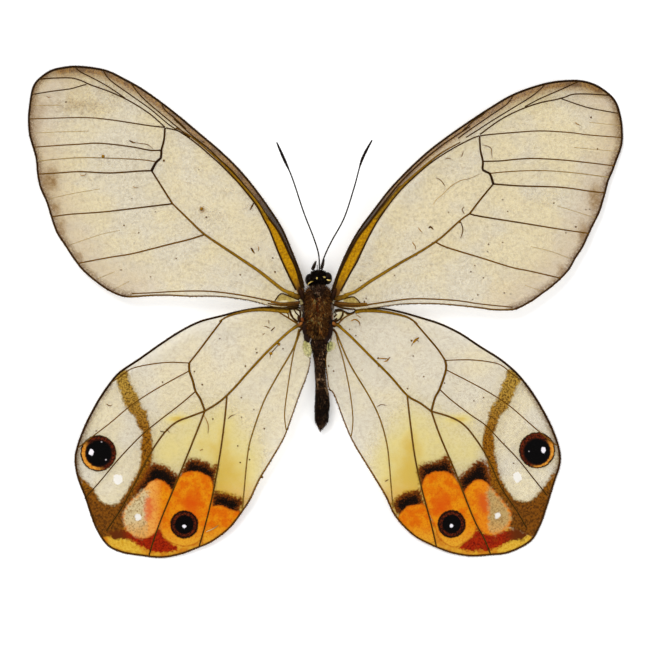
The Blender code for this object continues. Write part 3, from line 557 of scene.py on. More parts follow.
PATCHES["forewing_left"] = {
    "amber": [(304, 293), (301.8, 285), (295.4, 265), (289.8, 252.3), (284.1, 239.6),
        (278.5, 229.8), (271.4, 221.5), (262, 209), (246, 190), (244, 190.5), (256.5, 206),
        (265, 221.3), (270, 231), (279.5, 255), (289.5, 276.3), (296.5, 290), (299, 296)],
    "olive": [(281, 294.5), (290, 297), (297, 300.5), (287, 302.5), (281, 301), (275, 301)],
    "cream": [(277, 302.5), (282, 300.5), (289, 300.5), (287, 303), (280, 303.5)]}
PATCHES["forewing_right"] = {
    "amber": [(332, 294), (334.6, 285), (340.5, 271.8), (350.5, 251.3), (359.6, 235.4),
        (368.2, 225.1), (376, 214), (386, 202), (401, 184.5), (403, 186), (391, 201),
        (384, 211.8), (376, 223.6), (370.5, 233.3), (360.5, 253.3), (350.5, 272.8), (341, 290.8),
        (338, 297)],
    "olive": [(344, 298.5), (353.5, 296.5), (357, 300.5), (360.5, 303.5), (350, 303),
        (343, 301.5)],
    "cream": [(336, 303), (341, 302), (344, 304.5), (343, 307.5), (338, 306)]}
PATCHES["hindwing_right"] = {
    "cream": [(334.5, 311), (342, 310), (346, 313.5), (352, 314), (347, 317), (340, 320),
        (334, 318)],
    "hem": [(535, 539), (523, 535), (512, 530), (505, 522), (488, 518), (474, 517), (468, 528),
        (455, 536), (440, 530), (431, 520), (422, 530), (425, 546), (447, 554), (479, 560),
        (515, 554), (532, 545)],
    "band": [(513, 371), (507.4, 370.8), (506.4, 379), (502.3, 385), (499.7, 394.4),
        (496.7, 401.5), (490.5, 409.7), (489.5, 418), (486.4, 425), (484.4, 433.3),
        (482.3, 443.6), (484.4, 452), (489, 468), (490, 487), (494, 492), (500, 499), (505, 505),
        (510, 512), (511, 519), (509, 526), (512, 528), (522, 533), (531, 538), (534.7, 535.7),
        (540.2, 526), (543.8, 516.2), (547.5, 505.3), (550, 494.3), (554.2, 483.3), (556.5, 478),
        (554.2, 473.6), (550.5, 479.7), (544.4, 488.2), (537, 496.7), (531, 502.2),
        (522.5, 502.8), (514, 499.2), (508, 491.9), (501.8, 480.9), (497.5, 468.7), (495, 456.7),
        (493.9, 444.4), (493, 434), (495.6, 428.2), (497.7, 421), (500.8, 413.8), (506, 409.7),
        (512, 397.4), (516.2, 387.2), (520.3, 380), (518, 376)],
    "black": [
        [(463, 473), (470, 467), (478, 460), (484, 461), (489, 468), (493, 493), (487, 490),
            (481, 486), (475, 487), (471, 490), (466, 494), (461, 493), (457, 480)],
        [(418, 467), (424, 463), (433, 461), (440, 459.5), (445, 455), (449, 457), (455, 470),
            (461, 489), (452, 483), (445, 479), (436, 479), (429, 482), (425, 492), (421, 490),
            (418, 477)],
        [(395, 499), (400, 494.5), (408, 491), (415, 490), (421, 490), (425, 511), (417, 511),
            (412, 511), (407, 514), (401, 517), (397, 515), (392, 505)]],
    "orange": [
        [(465, 492), (470, 485.5), (475, 482), (480, 480.5), (486, 483), (490, 488), (494, 492),
            (500, 499), (505, 505), (510, 512), (511, 519), (509, 526), (503, 531), (495, 534.5),
            (487, 534), (480, 528), (476, 520), (471, 508), (466, 495)],
        [(423, 486), (424.5, 480), (429, 475), (436, 472.5), (445, 472.5), (452, 476),
            (457, 483), (461, 490), (466, 503), (471, 514), (475, 524), (475, 531), (470, 538),
            (463, 543), (455, 547), (447, 544), (440, 537), (436, 527), (431, 515), (427, 503),
            (423, 492)],
        [(402, 513), (409, 507), (416, 506), (424, 506), (430, 521), (433, 533), (435, 541),
            (428, 543), (421, 540), (413, 534.5), (404.4, 527), (399, 519)]],
    "pale": [(489, 488), (494, 492), (500, 499), (505, 505), (510, 512), (511, 519), (509, 526),
        (503, 531), (495, 534.5), (489, 528), (489, 515), (487, 500)],
    "crimson": [(462, 548), (468, 542), (475, 536), (478, 530), (482, 534), (490, 536),
        (500, 534), (508, 531), (516, 532), (526, 535), (524, 539), (514, 539), (506, 542),
        (498, 547), (488, 549.5), (475, 550)],
    "yellow_strip": [(500, 548), (507, 541), (515, 537), (525, 537), (531, 538), (530, 542),
        (520, 548.5), (509, 553), (500, 553)],
    "red_stripe": [(480, 496), (485, 496), (488, 508), (486, 514), (480, 506)],
    "root_lobe": [(329, 344), (332, 341), (335, 343), (335, 349), (330, 350)],
    "yellow": [(411, 478, 22, 62, 1.0), (434, 452, 22, 42, 0.45), (458, 419, 15, 5, 1.0),
        (456, 448, 22, 34, 0.55), (388, 476, 24, 58, 0.75), (424, 424, 26, 26, 0.3),
        (472, 450, 14, 22, 0.55), (411, 462, 7, 40, 0.7)]}
print("traced", sum(len(p) for p in PATCHES.values()), "kinds of patches")

# %% [markdown]
# Distances. Two functions measure how far many points lie from a line and how deep they lie in a
# ring. They give the height of the skin near a vein and the edges of all markings.

# %% Distance helpers


def line_distance(points, line):
    """The distance from many points to a chain of straight runs."""
    best = np.full(len(points), 1e9)
    for start, end in zip(line, line[1:]):
        run = end - start
        share = np.clip(((points - start) @ run) / max(float(run @ run), 1e-12), 0.0, 1.0)
        best = np.minimum(best, np.linalg.norm(points - start - share[:, None] * run, axis=1))
    return best


def depth_inside(points, ring):
    """How deep points lie in a closed ring; below zero is outside."""
    loop = np.vstack([ring, ring[:1]])
    within = np.zeros(len(points), dtype=bool)
    for a, b in zip(loop, loop[1:]):
        crosses = (a[1] > points[:, 1]) != (b[1] > points[:, 1])
        with np.errstate(divide="ignore", invalid="ignore"):
            x = (b[0] - a[0]) * (points[:, 1] - a[1]) / (b[1] - a[1]) + a[0]
        within ^= crosses & (points[:, 0] < x)
    return np.where(within, 1.0, -1.0) * line_distance(points, loop)


def soft_blobs(points, blobs):
    """The strength of soft round clouds, each traced as centre, half width, half height."""
    bare = np.ones(len(points))
    for x, y, across, along, strength in blobs:
        offset = (points - np.array(at((x, y)))) / (np.array([across, along]) * MM_PER_PX)
        bare *= 1.0 - strength * np.exp(-(offset ** 2).sum(axis=1))
    return 1.0 - bare


SKIN = 0.045
SOLID_MEMBRANE = 0.12
EDGE_LIFT = 0.02
DROOP_POWER = 1.8
VEIN_SWELL = 0.04


def skin_height(points, wing):
    """The middle height of the wing's skin, drooping from the root to the tip."""
    share = np.linalg.norm(points - np.array(at(wing["root"])), axis=1) / wing["reach"]
    fall = 1.0 - np.minimum(1.0, share) ** DROOP_POWER
    return SOLID_MEMBRANE / 2 + EDGE_LIFT + wing["root_height"] * fall


for wing in WINGS.values():
    wing["edge"] = smooth(trace(wing["outline"]), 0.3, closed=True)
    wing["lines"] = [smooth(trace(v[4]), 0.35) for v in wing["veins"]]
print("margin lengths in mm:", {n: round(len(w["edge"]) * 0.3) for n, w in WINGS.items()})

# %% [markdown]
# The skin of each wing. It could be a filled curve, but a fill has no points inside, so it could
# not droop or carry markings. So the outline and an even net of points inside it are joined by a
# Delaunay triangulation, which gives neat triangles, and the sheet gets a thin wall.

# %% Wing skins
NET_STEP = 0.27


def finish_mesh(name, vertices, faces, attributes=None, colours=None):
    """A smooth-shaded object from points in millimetres, with point attributes."""
    mesh = bpy.data.meshes.new(name)
    mesh.from_pydata((np.asarray(vertices) * MM).tolist(), [], faces)
    mesh.shade_smooth()
    for key, values in (attributes or {}).items():
        layer = mesh.attributes.new(key, "FLOAT", "POINT")
        layer.data.foreach_set("value", np.asarray(values, dtype=np.float32))
    if colours is not None:
        layer = mesh.attributes.new("tint", "FLOAT_COLOR", "POINT")
        layer.data.foreach_set("color", np.asarray(colours, dtype=np.float32).ravel())
    piece = bpy.data.objects.new(name, mesh)
    bpy.context.scene.collection.objects.link(piece)
    return piece


def wing_net(wing):
    """The wing's margin, then a net of points inside it, and the triangles that join them."""
    edge = wing["edge"]
    low, high = edge.min(axis=0), edge.max(axis=0)
    rows = np.arange(low[1], high[1], NET_STEP * math.sqrt(3) / 2)
    columns = np.arange(low[0], high[0], NET_STEP)
    net = np.array([(x + 0.5 * NET_STEP * (i % 2), y) for i, y in enumerate(rows) for x in columns])
    net = net[depth_inside(net, edge) > 0.5 * NET_STEP]
    points = np.vstack([edge, net])
    flat, _, faces, _, _, _ = delaunay_2d_cdt([Vector(p) for p in points], [],
                                              [list(range(len(edge)))], 1, 1e-5)
    return np.array([tuple(p) for p in flat]), faces


def wing_attributes(name, points, wing):
    """What the wing's material needs to know at each point."""
    split_tip, split_corner = wing["tip"], wing["corner"]
    traced = trace(wing["outline"])
    front = smooth(traced[:split_tip + 1], 0.3)
    outer = smooth(traced[split_tip:split_corner + 1], 0.3)
    values = {
        "front": line_distance(points, front),
        "outer": line_distance(points, outer),
        "smudge": soft_blobs(points, wing["smudges"]),
        "root": np.linalg.norm(points - np.array(at(wing["root"])), axis=1)}
    for key, patch in PATCHES.get(name, {}).items():
        if key == "yellow":
            values[key] = soft_blobs(points, patch)
        elif isinstance(patch[0], list):
            rings = [depth_inside(points, smooth(trace(p), 0.3, closed=True)) for p in patch]
            values[key] = np.max(rings, axis=0)
        else:
            values[key] = depth_inside(points, smooth(trace(patch), 0.3, closed=True))
    return values


def make_skin(name, wing):
    """A thin closed sheet with a top, an underside and a rim."""
    flat, faces = wing_net(wing)
    nearest = np.min([line_distance(flat, line) for line in wing["lines"]], axis=0)
    swell = VEIN_SWELL * np.exp(-(nearest / 0.4) ** 2)
    middle = skin_height(flat, wing) + swell
    count = len(flat)
    top = np.column_stack([flat, middle + SKIN / 2])
    under = np.column_stack([flat, middle - SKIN / 2])
    rim = set()
    for face in faces:
        rim.update(zip(face, face[1:] + face[:1]))
    walls = [(j, i, i + count, j + count) for i, j in rim if (j, i) not in rim]
    all_faces = [tuple(f) for f in faces] + [tuple(i + count for i in reversed(f)) for f in faces]
    values = {k: np.concatenate([v, v]) for k, v in wing_attributes(name, flat, wing).items()}
    return finish_mesh(name + "_skin", np.vstack([top, under]), all_faces + walls, values)


skins = {}
for name, wing in WINGS.items():
    skins[name] = make_skin(name, wing)
    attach(skins[name], "root")
    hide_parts(name)
print("skin points:", {n: len(s.data.vertices) for n, s in skins.items()})

# %% [markdown]
# Wing skin material: dried chitin, the stuff of insect wings, as thin as cling film and almost
# clear. It lets white paper shine through and tints it a warm grey. Base Color is a faint tan and
# a linked Alpha makes it see-through; where scales cover it, the alpha goes up to one.
# The skin has two faces, so each carries the square root of the light that should come through.

# %% Clear chitin
WING_DATA = ("front", "outer", "smudge", "root", *PATCHES["forewing_left"],
             *PATCHES["hindwing_left"])
for key in WING_DATA:
    NODES[key] = ("Attribute", {"attribute_name": key}, (), "Fac")
CLOUD_MM, STRIP_MM, SMUDGE_MM, MOTTLE_MM, GRAIN_MM, FLECK_MM = 4.5, 1.8, 0.6, 0.5, 0.26, 0.22
WRINKLE_MM, WRINKLE_DEPTH = 0.3, 0.05 * MM
SOLID_COVER = 0.999


def face_alpha(opacity):
    """The alpha of one face so that the sheet's two faces together give this opacity."""
    return 1.0 - math.sqrt(1.0 - opacity)


def chitin_base(name, cover):
    """The clear part of a wing with its opacity: its tree, shader, place, colour and alpha."""
    material, tree, shader, place = new_material(name, 0.42)
    cloud = add(tree, "noise", place, 1.0 / CLOUD_MM, 3.0, 0.6)
    mottle = add(tree, "noise", place, 1.0 / MOTTLE_MM, 4.0, 0.65)
    grain = add(tree, "noise", place, 1.0 / GRAIN_MM, 4.0, 0.85)
    colour = fade(tree, cloud, 0.38, 0.62, "#E4D296", "#DCD0AE")
    speck = add(tree, "ramp", mottle, 0.56, 0.74, 0.4)
    colour = add(tree, "mix", speck, colour, "#B08C3C")
    colour = fade(tree, grain, 0.42, 0.66, colour, "#8A7038", 0.75)
    alpha = add(tree, "mix numbers", speck, face_alpha(cover), face_alpha(cover + 0.12))
    alpha = add(tree, "mix numbers", add(tree, "ramp", grain, 0.38, 0.68), alpha,
                add(tree, "add", alpha, 0.04))
    return material, tree, shader, place, colour, alpha


def over(tree, state, mask, colour, opacity):
    """Lay a colour with its opacity over what is there, by a mask."""
    below, alpha = state
    return (add(tree, "mix", mask, below, colour),
            add(tree, "mix numbers", mask, alpha, face_alpha(opacity)))


def edge_mask(tree, place, key, soft, ragged, grain_mm, shift=0.0):
    """A mask from a patch's depth, its edge moved in and out by noise."""
    depth = add(tree, key)
    wobble = add(tree, "subtract", add(tree, "noise", place, 1.0 / grain_mm, 2.0, 0.55), 0.5)
    moved = add(tree, "add", depth, add(tree, "multiply", wobble, ragged))
    return add(tree, "ramp", moved, shift - soft, shift + soft)


def finish_skin(tree, shader, place, state):
    """Link the colour and alpha, and give the skin its fine wrinkles."""
    tree.links.new(state[0], shader.inputs["Base Color"])
    tree.links.new(state[1], shader.inputs["Alpha"])
    wrinkle = add(tree, "noise", place, 1.0 / WRINKLE_MM, 3.0, 0.55)
    bump = add(tree, "bump", wrinkle, 0.12, WRINKLE_DEPTH)
    tree.links.new(bump, shader.inputs["Normal"])


fore_material, tree, shader, place, colour, alpha = chitin_base("clear_chitin_forewing", 0.59)
state = (colour, alpha)
fleck = add(tree, "noise", place, 1.0 / FLECK_MM, 4.0, 0.75)
outer_glow = add(tree, "ramp", add(tree, "outer"), 4.5, 0.0, 0.5)
state = over(tree, state, outer_glow, "#B48F58", 0.62)
rim = add(tree, "multiply", add(tree, "ramp", add(tree, "outer"), 0.9, 0.0),
          add(tree, "ramp", fleck, 0.25, 0.6))
state = over(tree, state, rim, "#6A4212", 0.93)
smudge = add(tree, "multiply", add(tree, "smudge"),
             add(tree, "noise", place, 1.0 / SMUDGE_MM, 4.0, 0.7))
state = over(tree, state, add(tree, "ramp", smudge, 0.06, 0.5), "#8E6414", 0.88)
broad_strip = add(tree, "ramp", add(tree, "front"), 1.2, 0.75)
state = over(tree, state, add(tree, "multiply", broad_strip, 0.75),
             fade(tree, fleck, 0.35, 0.6, "#8A6430", "#B89A66"), 0.85)
front_strip = add(tree, "ramp", add(tree, "front"), 0.75, 0.4)
strip_colour = fade(tree, fleck, 0.38, 0.62, "#6A3E0A", "#A67A30")
strip_colour = fade(tree, add(tree, "noise", place, 1.0 / STRIP_MM, 2.0, 0.55), 0.5, 0.66,
                    strip_colour, "#5E3A10")
strip_colour = fade(tree, add(tree, "root"), 14.0, 8.5, strip_colour, "#2E1A09")
strip_cover = add(tree, "mix numbers", add(tree, "ramp", add(tree, "root"), 20.0, 9.0), 0.85, 1.0)
state = over(tree, state, add(tree, "multiply", front_strip, strip_cover), strip_colour, 0.93)
olive = fade(tree, fleck, 0.4, 0.6, "#9A7E2E", "#C2A850")
state = over(tree, state, edge_mask(tree, place, "olive", 0.06, 0.1, 0.2), olive, 0.93)
state = over(tree, state, edge_mask(tree, place, "cream", 0.05, 0.1, 0.2), "#E4D6A8", 0.9)
amber = fade(tree, fleck, 0.34, 0.66, "#906002", "#CA9404")
amber = fade(tree, add(tree, "amber"), 0.02, 0.16, "#5A3A08", amber)
amber = fade(tree, add(tree, "root"), 2.6, 0.6, amber, "#5E3A12")
state = over(tree, state, edge_mask(tree, place, "amber", 0.05, 0.04, 0.2), amber, SOLID_COVER)
finish_skin(tree, shader, place, state)
for name in ("forewing_left", "forewing_right"):
    skins[name].data.materials.append(fore_material)
print("forewing material has", len(tree.nodes), "nodes")

# %% [markdown]
# The eyespots of the hindwings are rings around a point. So they need no tracing: each comes from
# the distance to its centre, and is laid over the last one from the rim to the pupil. The big eye
# is lit by a crescent on its outer side.

# %% Eyespots
RIM_MM = 0.22

# Centres of the round marks in traced pixels, and the tones that differ between the two sides.
EYESPOTS = {
    "hindwing_left": {
        "big": (97.9, 453.6),
        "big_core": (98.5, 453.5),
        "light": (-1, 0),
        "glints": [(101, 442), (105.5, 460)],
        "pupil": (90.7, 452.7),
        "small": (184.1, 524.9),
        "small_pupil": (184, 526.8),
        "pale": "#DCC898",
        "stripe": "#DE6430",
        "flank": "#E6A24A",
        "white": (117.5, 479.5),
        "white_2": (137.5, 518),
        "red": (192, 505)},
    "hindwing_right": {
        "big": (537.5, 450.5),
        "big_core": (537.4, 451.8),
        "light": (1, 0),
        "glints": [(529, 451.5)],
        "pupil": (543.9, 450.1),
        "small": (451.9, 524.4),
        "pale": "#C4A468",
        "stripe": "#D45408",
        "flank": "#E08414",
        "small_pupil": (451.8, 526.2),
        "white": (517.7, 477.5),
        "white_2": (498, 516),
        "red": (442, 505)}}


def from_centre(tree, place, centre_px, stretch=(1.0, 1.0)):
    """The distance in traced pixels from a centre, with the ring stretched across or along."""
    x, y = at(centre_px)
    moved = add(tree, "shift", place, (x, y, 0.0))
    scaled = add(tree, "stretch", moved, (1 / stretch[0], 1 / stretch[1], 0.0))
    length = add(tree, "length", scaled)
    ragged = add(tree, "multiply", add(tree, "noise", place, 1.0 / RIM_MM, 3.0, 0.55), 2.4)
    in_px = add(tree, "multiply", length, 1.0 / MM_PER_PX)
    return add(tree, "add", add(tree, "subtract", in_px, 1.2), ragged), moved


def within(tree, distance, radius, soft=0.9):
    """1 inside a radius, 0 outside."""
    return add(tree, "ramp", distance, radius + soft, radius - soft)


def lay_eyespots(tree, place, spots, side, grain, state):
    """Dark rings, a lit crescent, pupils and glints, from the outside in."""
    big, offset = from_centre(tree, place, spots["big"])
    core, _ = from_centre(tree, place, spots["big_core"])
    state = over(tree, state, within(tree, big, 18.2, 0.5), "#241003", SOLID_COVER)
    maroon = fade(tree, grain, 0.42, 0.6, "#1E0802", "#6A2408")
    state = over(tree, state, within(tree, big, 17.0, 0.6), maroon, SOLID_COVER)
    facing = add(tree, "dot", offset, (side * 0.85, -0.5, 0.0))
    lit = add(tree, "ramp", facing, 0.1, 1.15)
    glow = add(tree, "multiply", within(tree, big, 16.8, 0.5), lit)
    glow_tone = fade(tree, grain, 0.35, 0.65, "#C06A0C", "#E5A440")
    state = over(tree, state, glow, glow_tone, SOLID_COVER)
    pupil, _ = from_centre(tree, place, spots["pupil"], (1.0, 1.3))
    small, _ = from_centre(tree, place, spots["small"])
    small_pupil, _ = from_centre(tree, place, spots["small_pupil"])
    dots = [(core, 14.0, 0.7, "#2A0D03"), (core, 12.8, 0.7, "#020101"),
            (pupil, 2.3, 0.4, "#F4EEF4")]
    dots += [(from_centre(tree, place, glint)[0], 0.6, 0.6, "#C8BEC0")
             for glint in spots["glints"]]
    dots += [(small, 14.2, 0.7, "#1E0802"), (small, 12.0, 0.7, maroon),
             (small, 9.6, 0.7, "#030101"), (small_pupil, 1.9, 0.4, "#F0ECF2")]
    for centre, radius_px, soft_px, tone in dots:
        dot = within(tree, centre, radius_px, soft_px)
        state = over(tree, state, dot, tone, SOLID_COVER)
    return state


print("round marks are placed on", ", ".join(EYESPOTS))

# %% [markdown]
# Hindwing material: the same clear chitin, with markings laid over it one by one, each a layer of
# coloured scales. Scales are rough and matt, so roughness could stay as it is. Noise moves the edge
# of every patch in and out, as single scales do, and noise again mixes two tones inside it.

# %% Scaled hindwings
YELLOW_MM, TONE_MM, SPOT_MM, SCALE_MM = 1.6, 0.9, 0.45, 0.2


def hindwing_material(name):
    """The clear skin of a hindwing with its markings laid over it one by one."""
    spots = EYESPOTS[name]
    side = float(spots["light"][0])
    material, tree, shader, place, colour, alpha = chitin_base("scaled_chitin_" + name, 0.53)
    height = add(tree, "y", place)
    outward = add(tree, "multiply", add(tree, "x", place), side)
    grain = add(tree, "noise", place, 1.0 / SCALE_MM, 4.0, 0.8)
    tone = add(tree, "noise", place, 1.0 / TONE_MM, 3.0, 0.55)
    state = (colour, alpha)
    rim = add(tree, "multiply", add(tree, "ramp", add(tree, "outer"), 0.7, 0.0),
              add(tree, "ramp", grain, 0.25, 0.6))
    state = over(tree, state, rim, "#6A4212", 0.93)
    cloud = add(tree, "subtract", add(tree, "noise", place, 1.0 / YELLOW_MM, 4.0, 0.55), 0.5)
    yellow = add(tree, "add", add(tree, "yellow"), add(tree, "multiply", cloud, 0.35))
    yellow_tone = fade(tree, yellow, 0.72, 1.02, "#E8D67C", "#DAB834")
    yellow_tone = fade(tree, height, -16.5, -19.0, yellow_tone, "#E2B428")
    state = over(tree, state, add(tree, "ramp", yellow, 0.12, 1.0), yellow_tone, 0.83)
    state = over(tree, state, edge_mask(tree, place, "cream", 0.06, 0.1, 0.2),
                 fade(tree, tone, 0.4, 0.6, "#D9CC9A", "#F0E8CC"), 0.95)
    smudge = add(tree, "ramp", add(tree, "smudge"), 0.2, 0.7)
    state = over(tree, state, add(tree, "multiply", smudge, 0.6), "#D8A030", 0.8)
    brown = fade(tree, height, -7.0, -13.5, "#B89038", "#9A600A")
    brown = fade(tree, height, -16.0, -20.0, brown, "#804A0C")
    brown = fade(tree, grain, 0.43, 0.6, brown, "#3A1E04", 0.88)
    state = over(tree, state, edge_mask(tree, place, "band", 0.16, 0.6, 0.3, -0.06), brown,
                 SOLID_COVER)
    hem = fade(tree, tone, 0.35, 0.65, "#D0800C", "#E2A828")
    hem = fade(tree, grain, 0.5, 0.75, hem, "#A84804", 0.5)
    state = over(tree, state, edge_mask(tree, place, "hem", 0.15, 0.4, 0.2), hem, 0.97)
    state = over(tree, state, edge_mask(tree, place, "yellow_strip", 0.2, 0.4, 0.2),
                 fade(tree, grain, 0.35, 0.6, "#CC9414", "#E8BC3C"), 0.97)
    crimson = fade(tree, grain, 0.35, 0.6, "#640A00", "#A42602")
    crimson = fade(tree, tone, 0.56, 0.74, crimson, "#8A3404")
    crimson = fade(tree, outward, 18.2, 20.0, crimson, "#5E2806")
    state = over(tree, state, edge_mask(tree, place, "crimson", 0.2, 0.9, 0.3, -0.18), crimson,
                 SOLID_COVER)
    frayed = add(tree, "add", add(tree, "black"),
                 add(tree, "multiply", add(tree, "subtract", grain, 0.5), 2.4))
    black = fade(tree, frayed, 0.0, 0.75, "#763804", "#0A0300")
    black = fade(tree, grain, 0.56, 0.74, black, "#4A2404")
    state = over(tree, state, edge_mask(tree, place, "black", 0.24, 1.0, 0.24, 0.02), black,
                 SOLID_COVER)
    orange = fade(tree, tone, 0.35, 0.65, "#D66800", "#E08C0A")
    orange = fade(tree, height, -21.3, -23.6, orange, "#DFA22A")
    orange = fade(tree, outward, 15.4, 16.8, orange, spots["flank"])
    orange = fade(tree, grain, 0.45, 0.66, orange, "#BE4E02", 0.6)
    orange = fade(tree, add(tree, "orange"), -0.18, 0.1, "#A84A04", orange)
    state = over(tree, state, edge_mask(tree, place, "orange", 0.08, 0.4, 0.3, -0.12), orange,
                 SOLID_COVER)
    red, _ = from_centre(tree, place, spots["red"], (1.0, 1.5))
    state = over(tree, state, add(tree, "multiply", within(tree, red, 8.0, 6.0), 0.75), "#D04A02",
                 SOLID_COVER)
    peach = add(tree, "add", add(tree, "ramp", height, -20.6, -22.6),
                add(tree, "multiply", add(tree, "subtract", tone, 0.5), 1.6))
    pale = add(tree, "mix", peach, spots["pale"], "#E0A85C")
    pale = fade(tree, grain, 0.47, 0.6, pale, "#96703A", 0.85)
    state = over(tree, state, edge_mask(tree, place, "pale", 0.3, 0.9, 0.35), pale, 0.97)
    stripe = edge_mask(tree, place, "red_stripe", 0.35, 0.7, 0.3, -0.1)
    state = over(tree, state, add(tree, "multiply", stripe, 0.85), spots["stripe"], 0.97)
    for key, radius in (("white", 4.6), ("white_2", 3.0)):
        spot, _ = from_centre(tree, place, spots[key], (1.0, 1.15))
        wobble = add(tree, "multiply", add(tree, "noise", place, 1.0 / SPOT_MM, 2.0, 0.55), 4.0)
        spot = add(tree, "add", add(tree, "subtract", spot, 2.0), wobble)
        state = over(tree, state, within(tree, spot, radius), "#F6F2EA", 0.93)
    state = lay_eyespots(tree, place, spots, side, grain, state)
    state = over(tree, state, edge_mask(tree, place, "root_lobe", 0.1, 0.2, 0.3), "#C9C08A", 0.9)
    finish_skin(tree, shader, place, state)
    return material, len(tree.nodes)


for name in ("hindwing_left", "hindwing_right"):
    material, size = hindwing_material(name)
    skins[name].data.materials.append(material)
    print(name, "material has", size, "nodes")

# %% [markdown]
# Veins. They are hollow struts that stand proud of the skin on both sides. By hand one would draw
# a curve with a round bevel and a radius at each point. Here rings of points are joined to the same
# tube, so that colour can be written round it: thin veins have amber flanks, their own colour, and
# broad ones get painted shade on their flanks. The dark margin is one more vein round the edge.

# %% Vein tubes
AMBER_FLANK = "#7E560C"
THIN_MM, BROAD_MM = 0.085, 0.14


def tube_mesh(lines, sides=8, flanks=False):
    """Closed tubes along many lines; thin ones get amber flanks, broad ones painted shade on them.

    Each line is points, radii and colours, all per point.
    """
    vertices, faces, colours = [], [], []
    amber = np.array(linear(AMBER_FLANK)[:3])
    angles = 2 * math.pi * np.arange(sides) / sides
    for path, radii, tints in lines:
        ahead = np.gradient(path, axis=0)
        ahead /= np.linalg.norm(ahead, axis=1)[:, None] + 1e-12
        side = np.cross(ahead, (0.0, 0.0, 1.0))
        steep = np.linalg.norm(side, axis=1) < 0.2
        side[steep] = np.cross(ahead[steep], (1.0, 0.0, 0.0))
        side /= np.linalg.norm(side, axis=1)[:, None]
        up = np.cross(side, ahead)
        start = len(vertices)
        for i in range(len(path)):
            ring = path[i] + radii[i] * (np.cos(angles)[:, None] * side[i]
                                         + np.sin(angles)[:, None] * up[i])
            vertices.extend(ring.tolist())
            # On broad tubes the sides take a darker copy of the tint: painted shade on a round
            # vein. Thin tubes take an amber flank, their own colour.
            broad = np.clip((radii[i] - THIN_MM) / (BROAD_MM - THIN_MM), 0.0, 1.0)
            thin_flank = np.maximum(amber, tints[i][:3])
            flank = thin_flank * (1.0 - broad) + 0.3 * tints[i][:3] * broad
            share = flanks * np.abs(np.cos(angles))[:, None] ** 3
            ring_tints = tints[i][:3] * (1.0 - share) + flank * share
            colours.extend(tint.tolist() + [1.0] for tint in ring_tints)
        for i in range(len(path) - 1):
            for k in range(sides):
                a, b = start + i * sides + k, start + i * sides + (k + 1) % sides
                faces.append((a, b, b + sides, a + sides))
        faces.append(tuple(start + k for k in reversed(range(sides))))
        last = start + (len(path) - 1) * sides
        faces.append(tuple(last + k for k in range(sides)))
    return np.array(vertices), faces, np.array(colours)


def colour_run(first, last, count):
    """Colours from one hex to another along a line."""
    share = np.linspace(0.0, 1.0, count)[:, None]
    return np.array(linear(first)) * (1 - share) + np.array(linear(last)) * share


THICK_PX, FAINT_PX = 4.5, 0.8
FLANK_MM = 0.012


def make_veins(name, wing):
    """All veins of a wing and its margin; thick struts taper at both ends."""
    lines = []
    for (wide, narrow, first, last, _), flat in zip(wing["veins"], wing["lines"]):
        height = skin_height(flat, wing) + VEIN_SWELL
        radii = np.linspace(wide, narrow, len(flat)) * MM_PER_PX / 2
        radii += FLANK_MM if wide > FAINT_PX else 0.0
        if wide > THICK_PX:
            share = np.linspace(0.0, 1.0, len(flat))
            radii *= np.clip(4.0 * np.minimum(share + 0.08, 1.08 - share), 0.25, 1.0)
        height = height + np.minimum(radii, 0.12) * 0.3
        path = np.column_stack([flat, height])
        lines.append((path, radii, colour_run(first, last, len(flat))))
    edge = np.vstack([wing["edge"], wing["edge"][:1]])
    count = len(edge)
    traced = trace(wing["outline"])
    tip, corner = [int(np.argmin(np.linalg.norm(edge - traced[wing[k]], axis=1)))
                   for k in ("tip", "corner")]
    radii = np.interp(np.arange(count), [0, tip, corner, (corner + count) / 2, count - 1],
                      [0.1, 0.12, 0.095, 0.055, 0.015])
    last_tint, inner_tint = ("#5A3004", "#7A500E") if "hind" in name else ("#2E1602", "#6A4A18")
    tints = np.vstack([colour_run("#140803", "#1E0C02", tip),
                       colour_run("#1E0C02", last_tint, corner - tip),
                       colour_run(inner_tint, "#7A5818", count - corner)])
    path = np.column_stack([edge, skin_height(edge, wing)])
    lines.append((path, radii, tints))
    # Amber flanks on thin veins, painted shade on the flanks of broad veins and the margin.
    vertices, faces, colours = tube_mesh(lines, flanks=True)
    piece = finish_mesh(name + "_veins", vertices, faces, colours=colours)
    return piece


vein_material = tinted_material("amber_chitin_vein", 0.38, 0.22, 4.0, 0.7, 0.4, 0.65, 0.5)
for name, wing in WINGS.items():
    veins = make_veins(name, wing)
    veins.data.materials.append(vein_material)
    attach(veins, "root")
    print(name, "veins:", len(veins.data.polygons), "faces")

# %% [markdown]
# Smooth body forms. Each body piece starts as a copy of its solid, which already has the true
# form. Its loose triangles are merged, a Subdivision Surface rounds it, and where hair grows the
# skin is drawn in, so that the hair tips reach the solid's surface.

# %% Body forms from the solids


def rounded_copy(node, name, levels, sink_mm):
    """A merged, rounded copy of a solid, drawn in by some millimetres."""
    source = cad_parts[node]
    mesh = source.data.copy()
    piece = bpy.data.objects.new(name, mesh)
    piece.matrix_world = source.matrix_world.copy()
    bpy.context.scene.collection.objects.link(piece)
    builder = bmesh.new()
    builder.from_mesh(mesh)
    bmesh.ops.remove_doubles(builder, verts=builder.verts, dist=1e-6)
    builder.normal_update()
    for vert, move in [(v, -v.normal * sink_mm * MM) for v in builder.verts]:
        vert.co += move
    builder.to_mesh(mesh)
    builder.free()
    bpy.ops.object.select_all(action="DESELECT")
    piece.select_set(True)
    bpy.context.view_layer.objects.active = piece
    bpy.ops.object.transform_apply(location=True, rotation=True, scale=True)
    if levels:
        modifier = piece.modifiers.new("round", "SUBSURF")
        modifier.levels = levels
        modifier.render_levels = levels
        bpy.ops.object.modifier_apply(modifier=modifier.name)
    mesh = piece.data
    mesh.materials.clear()
    mesh.shade_smooth()
    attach(piece, "root")
    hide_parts(node)
    return piece


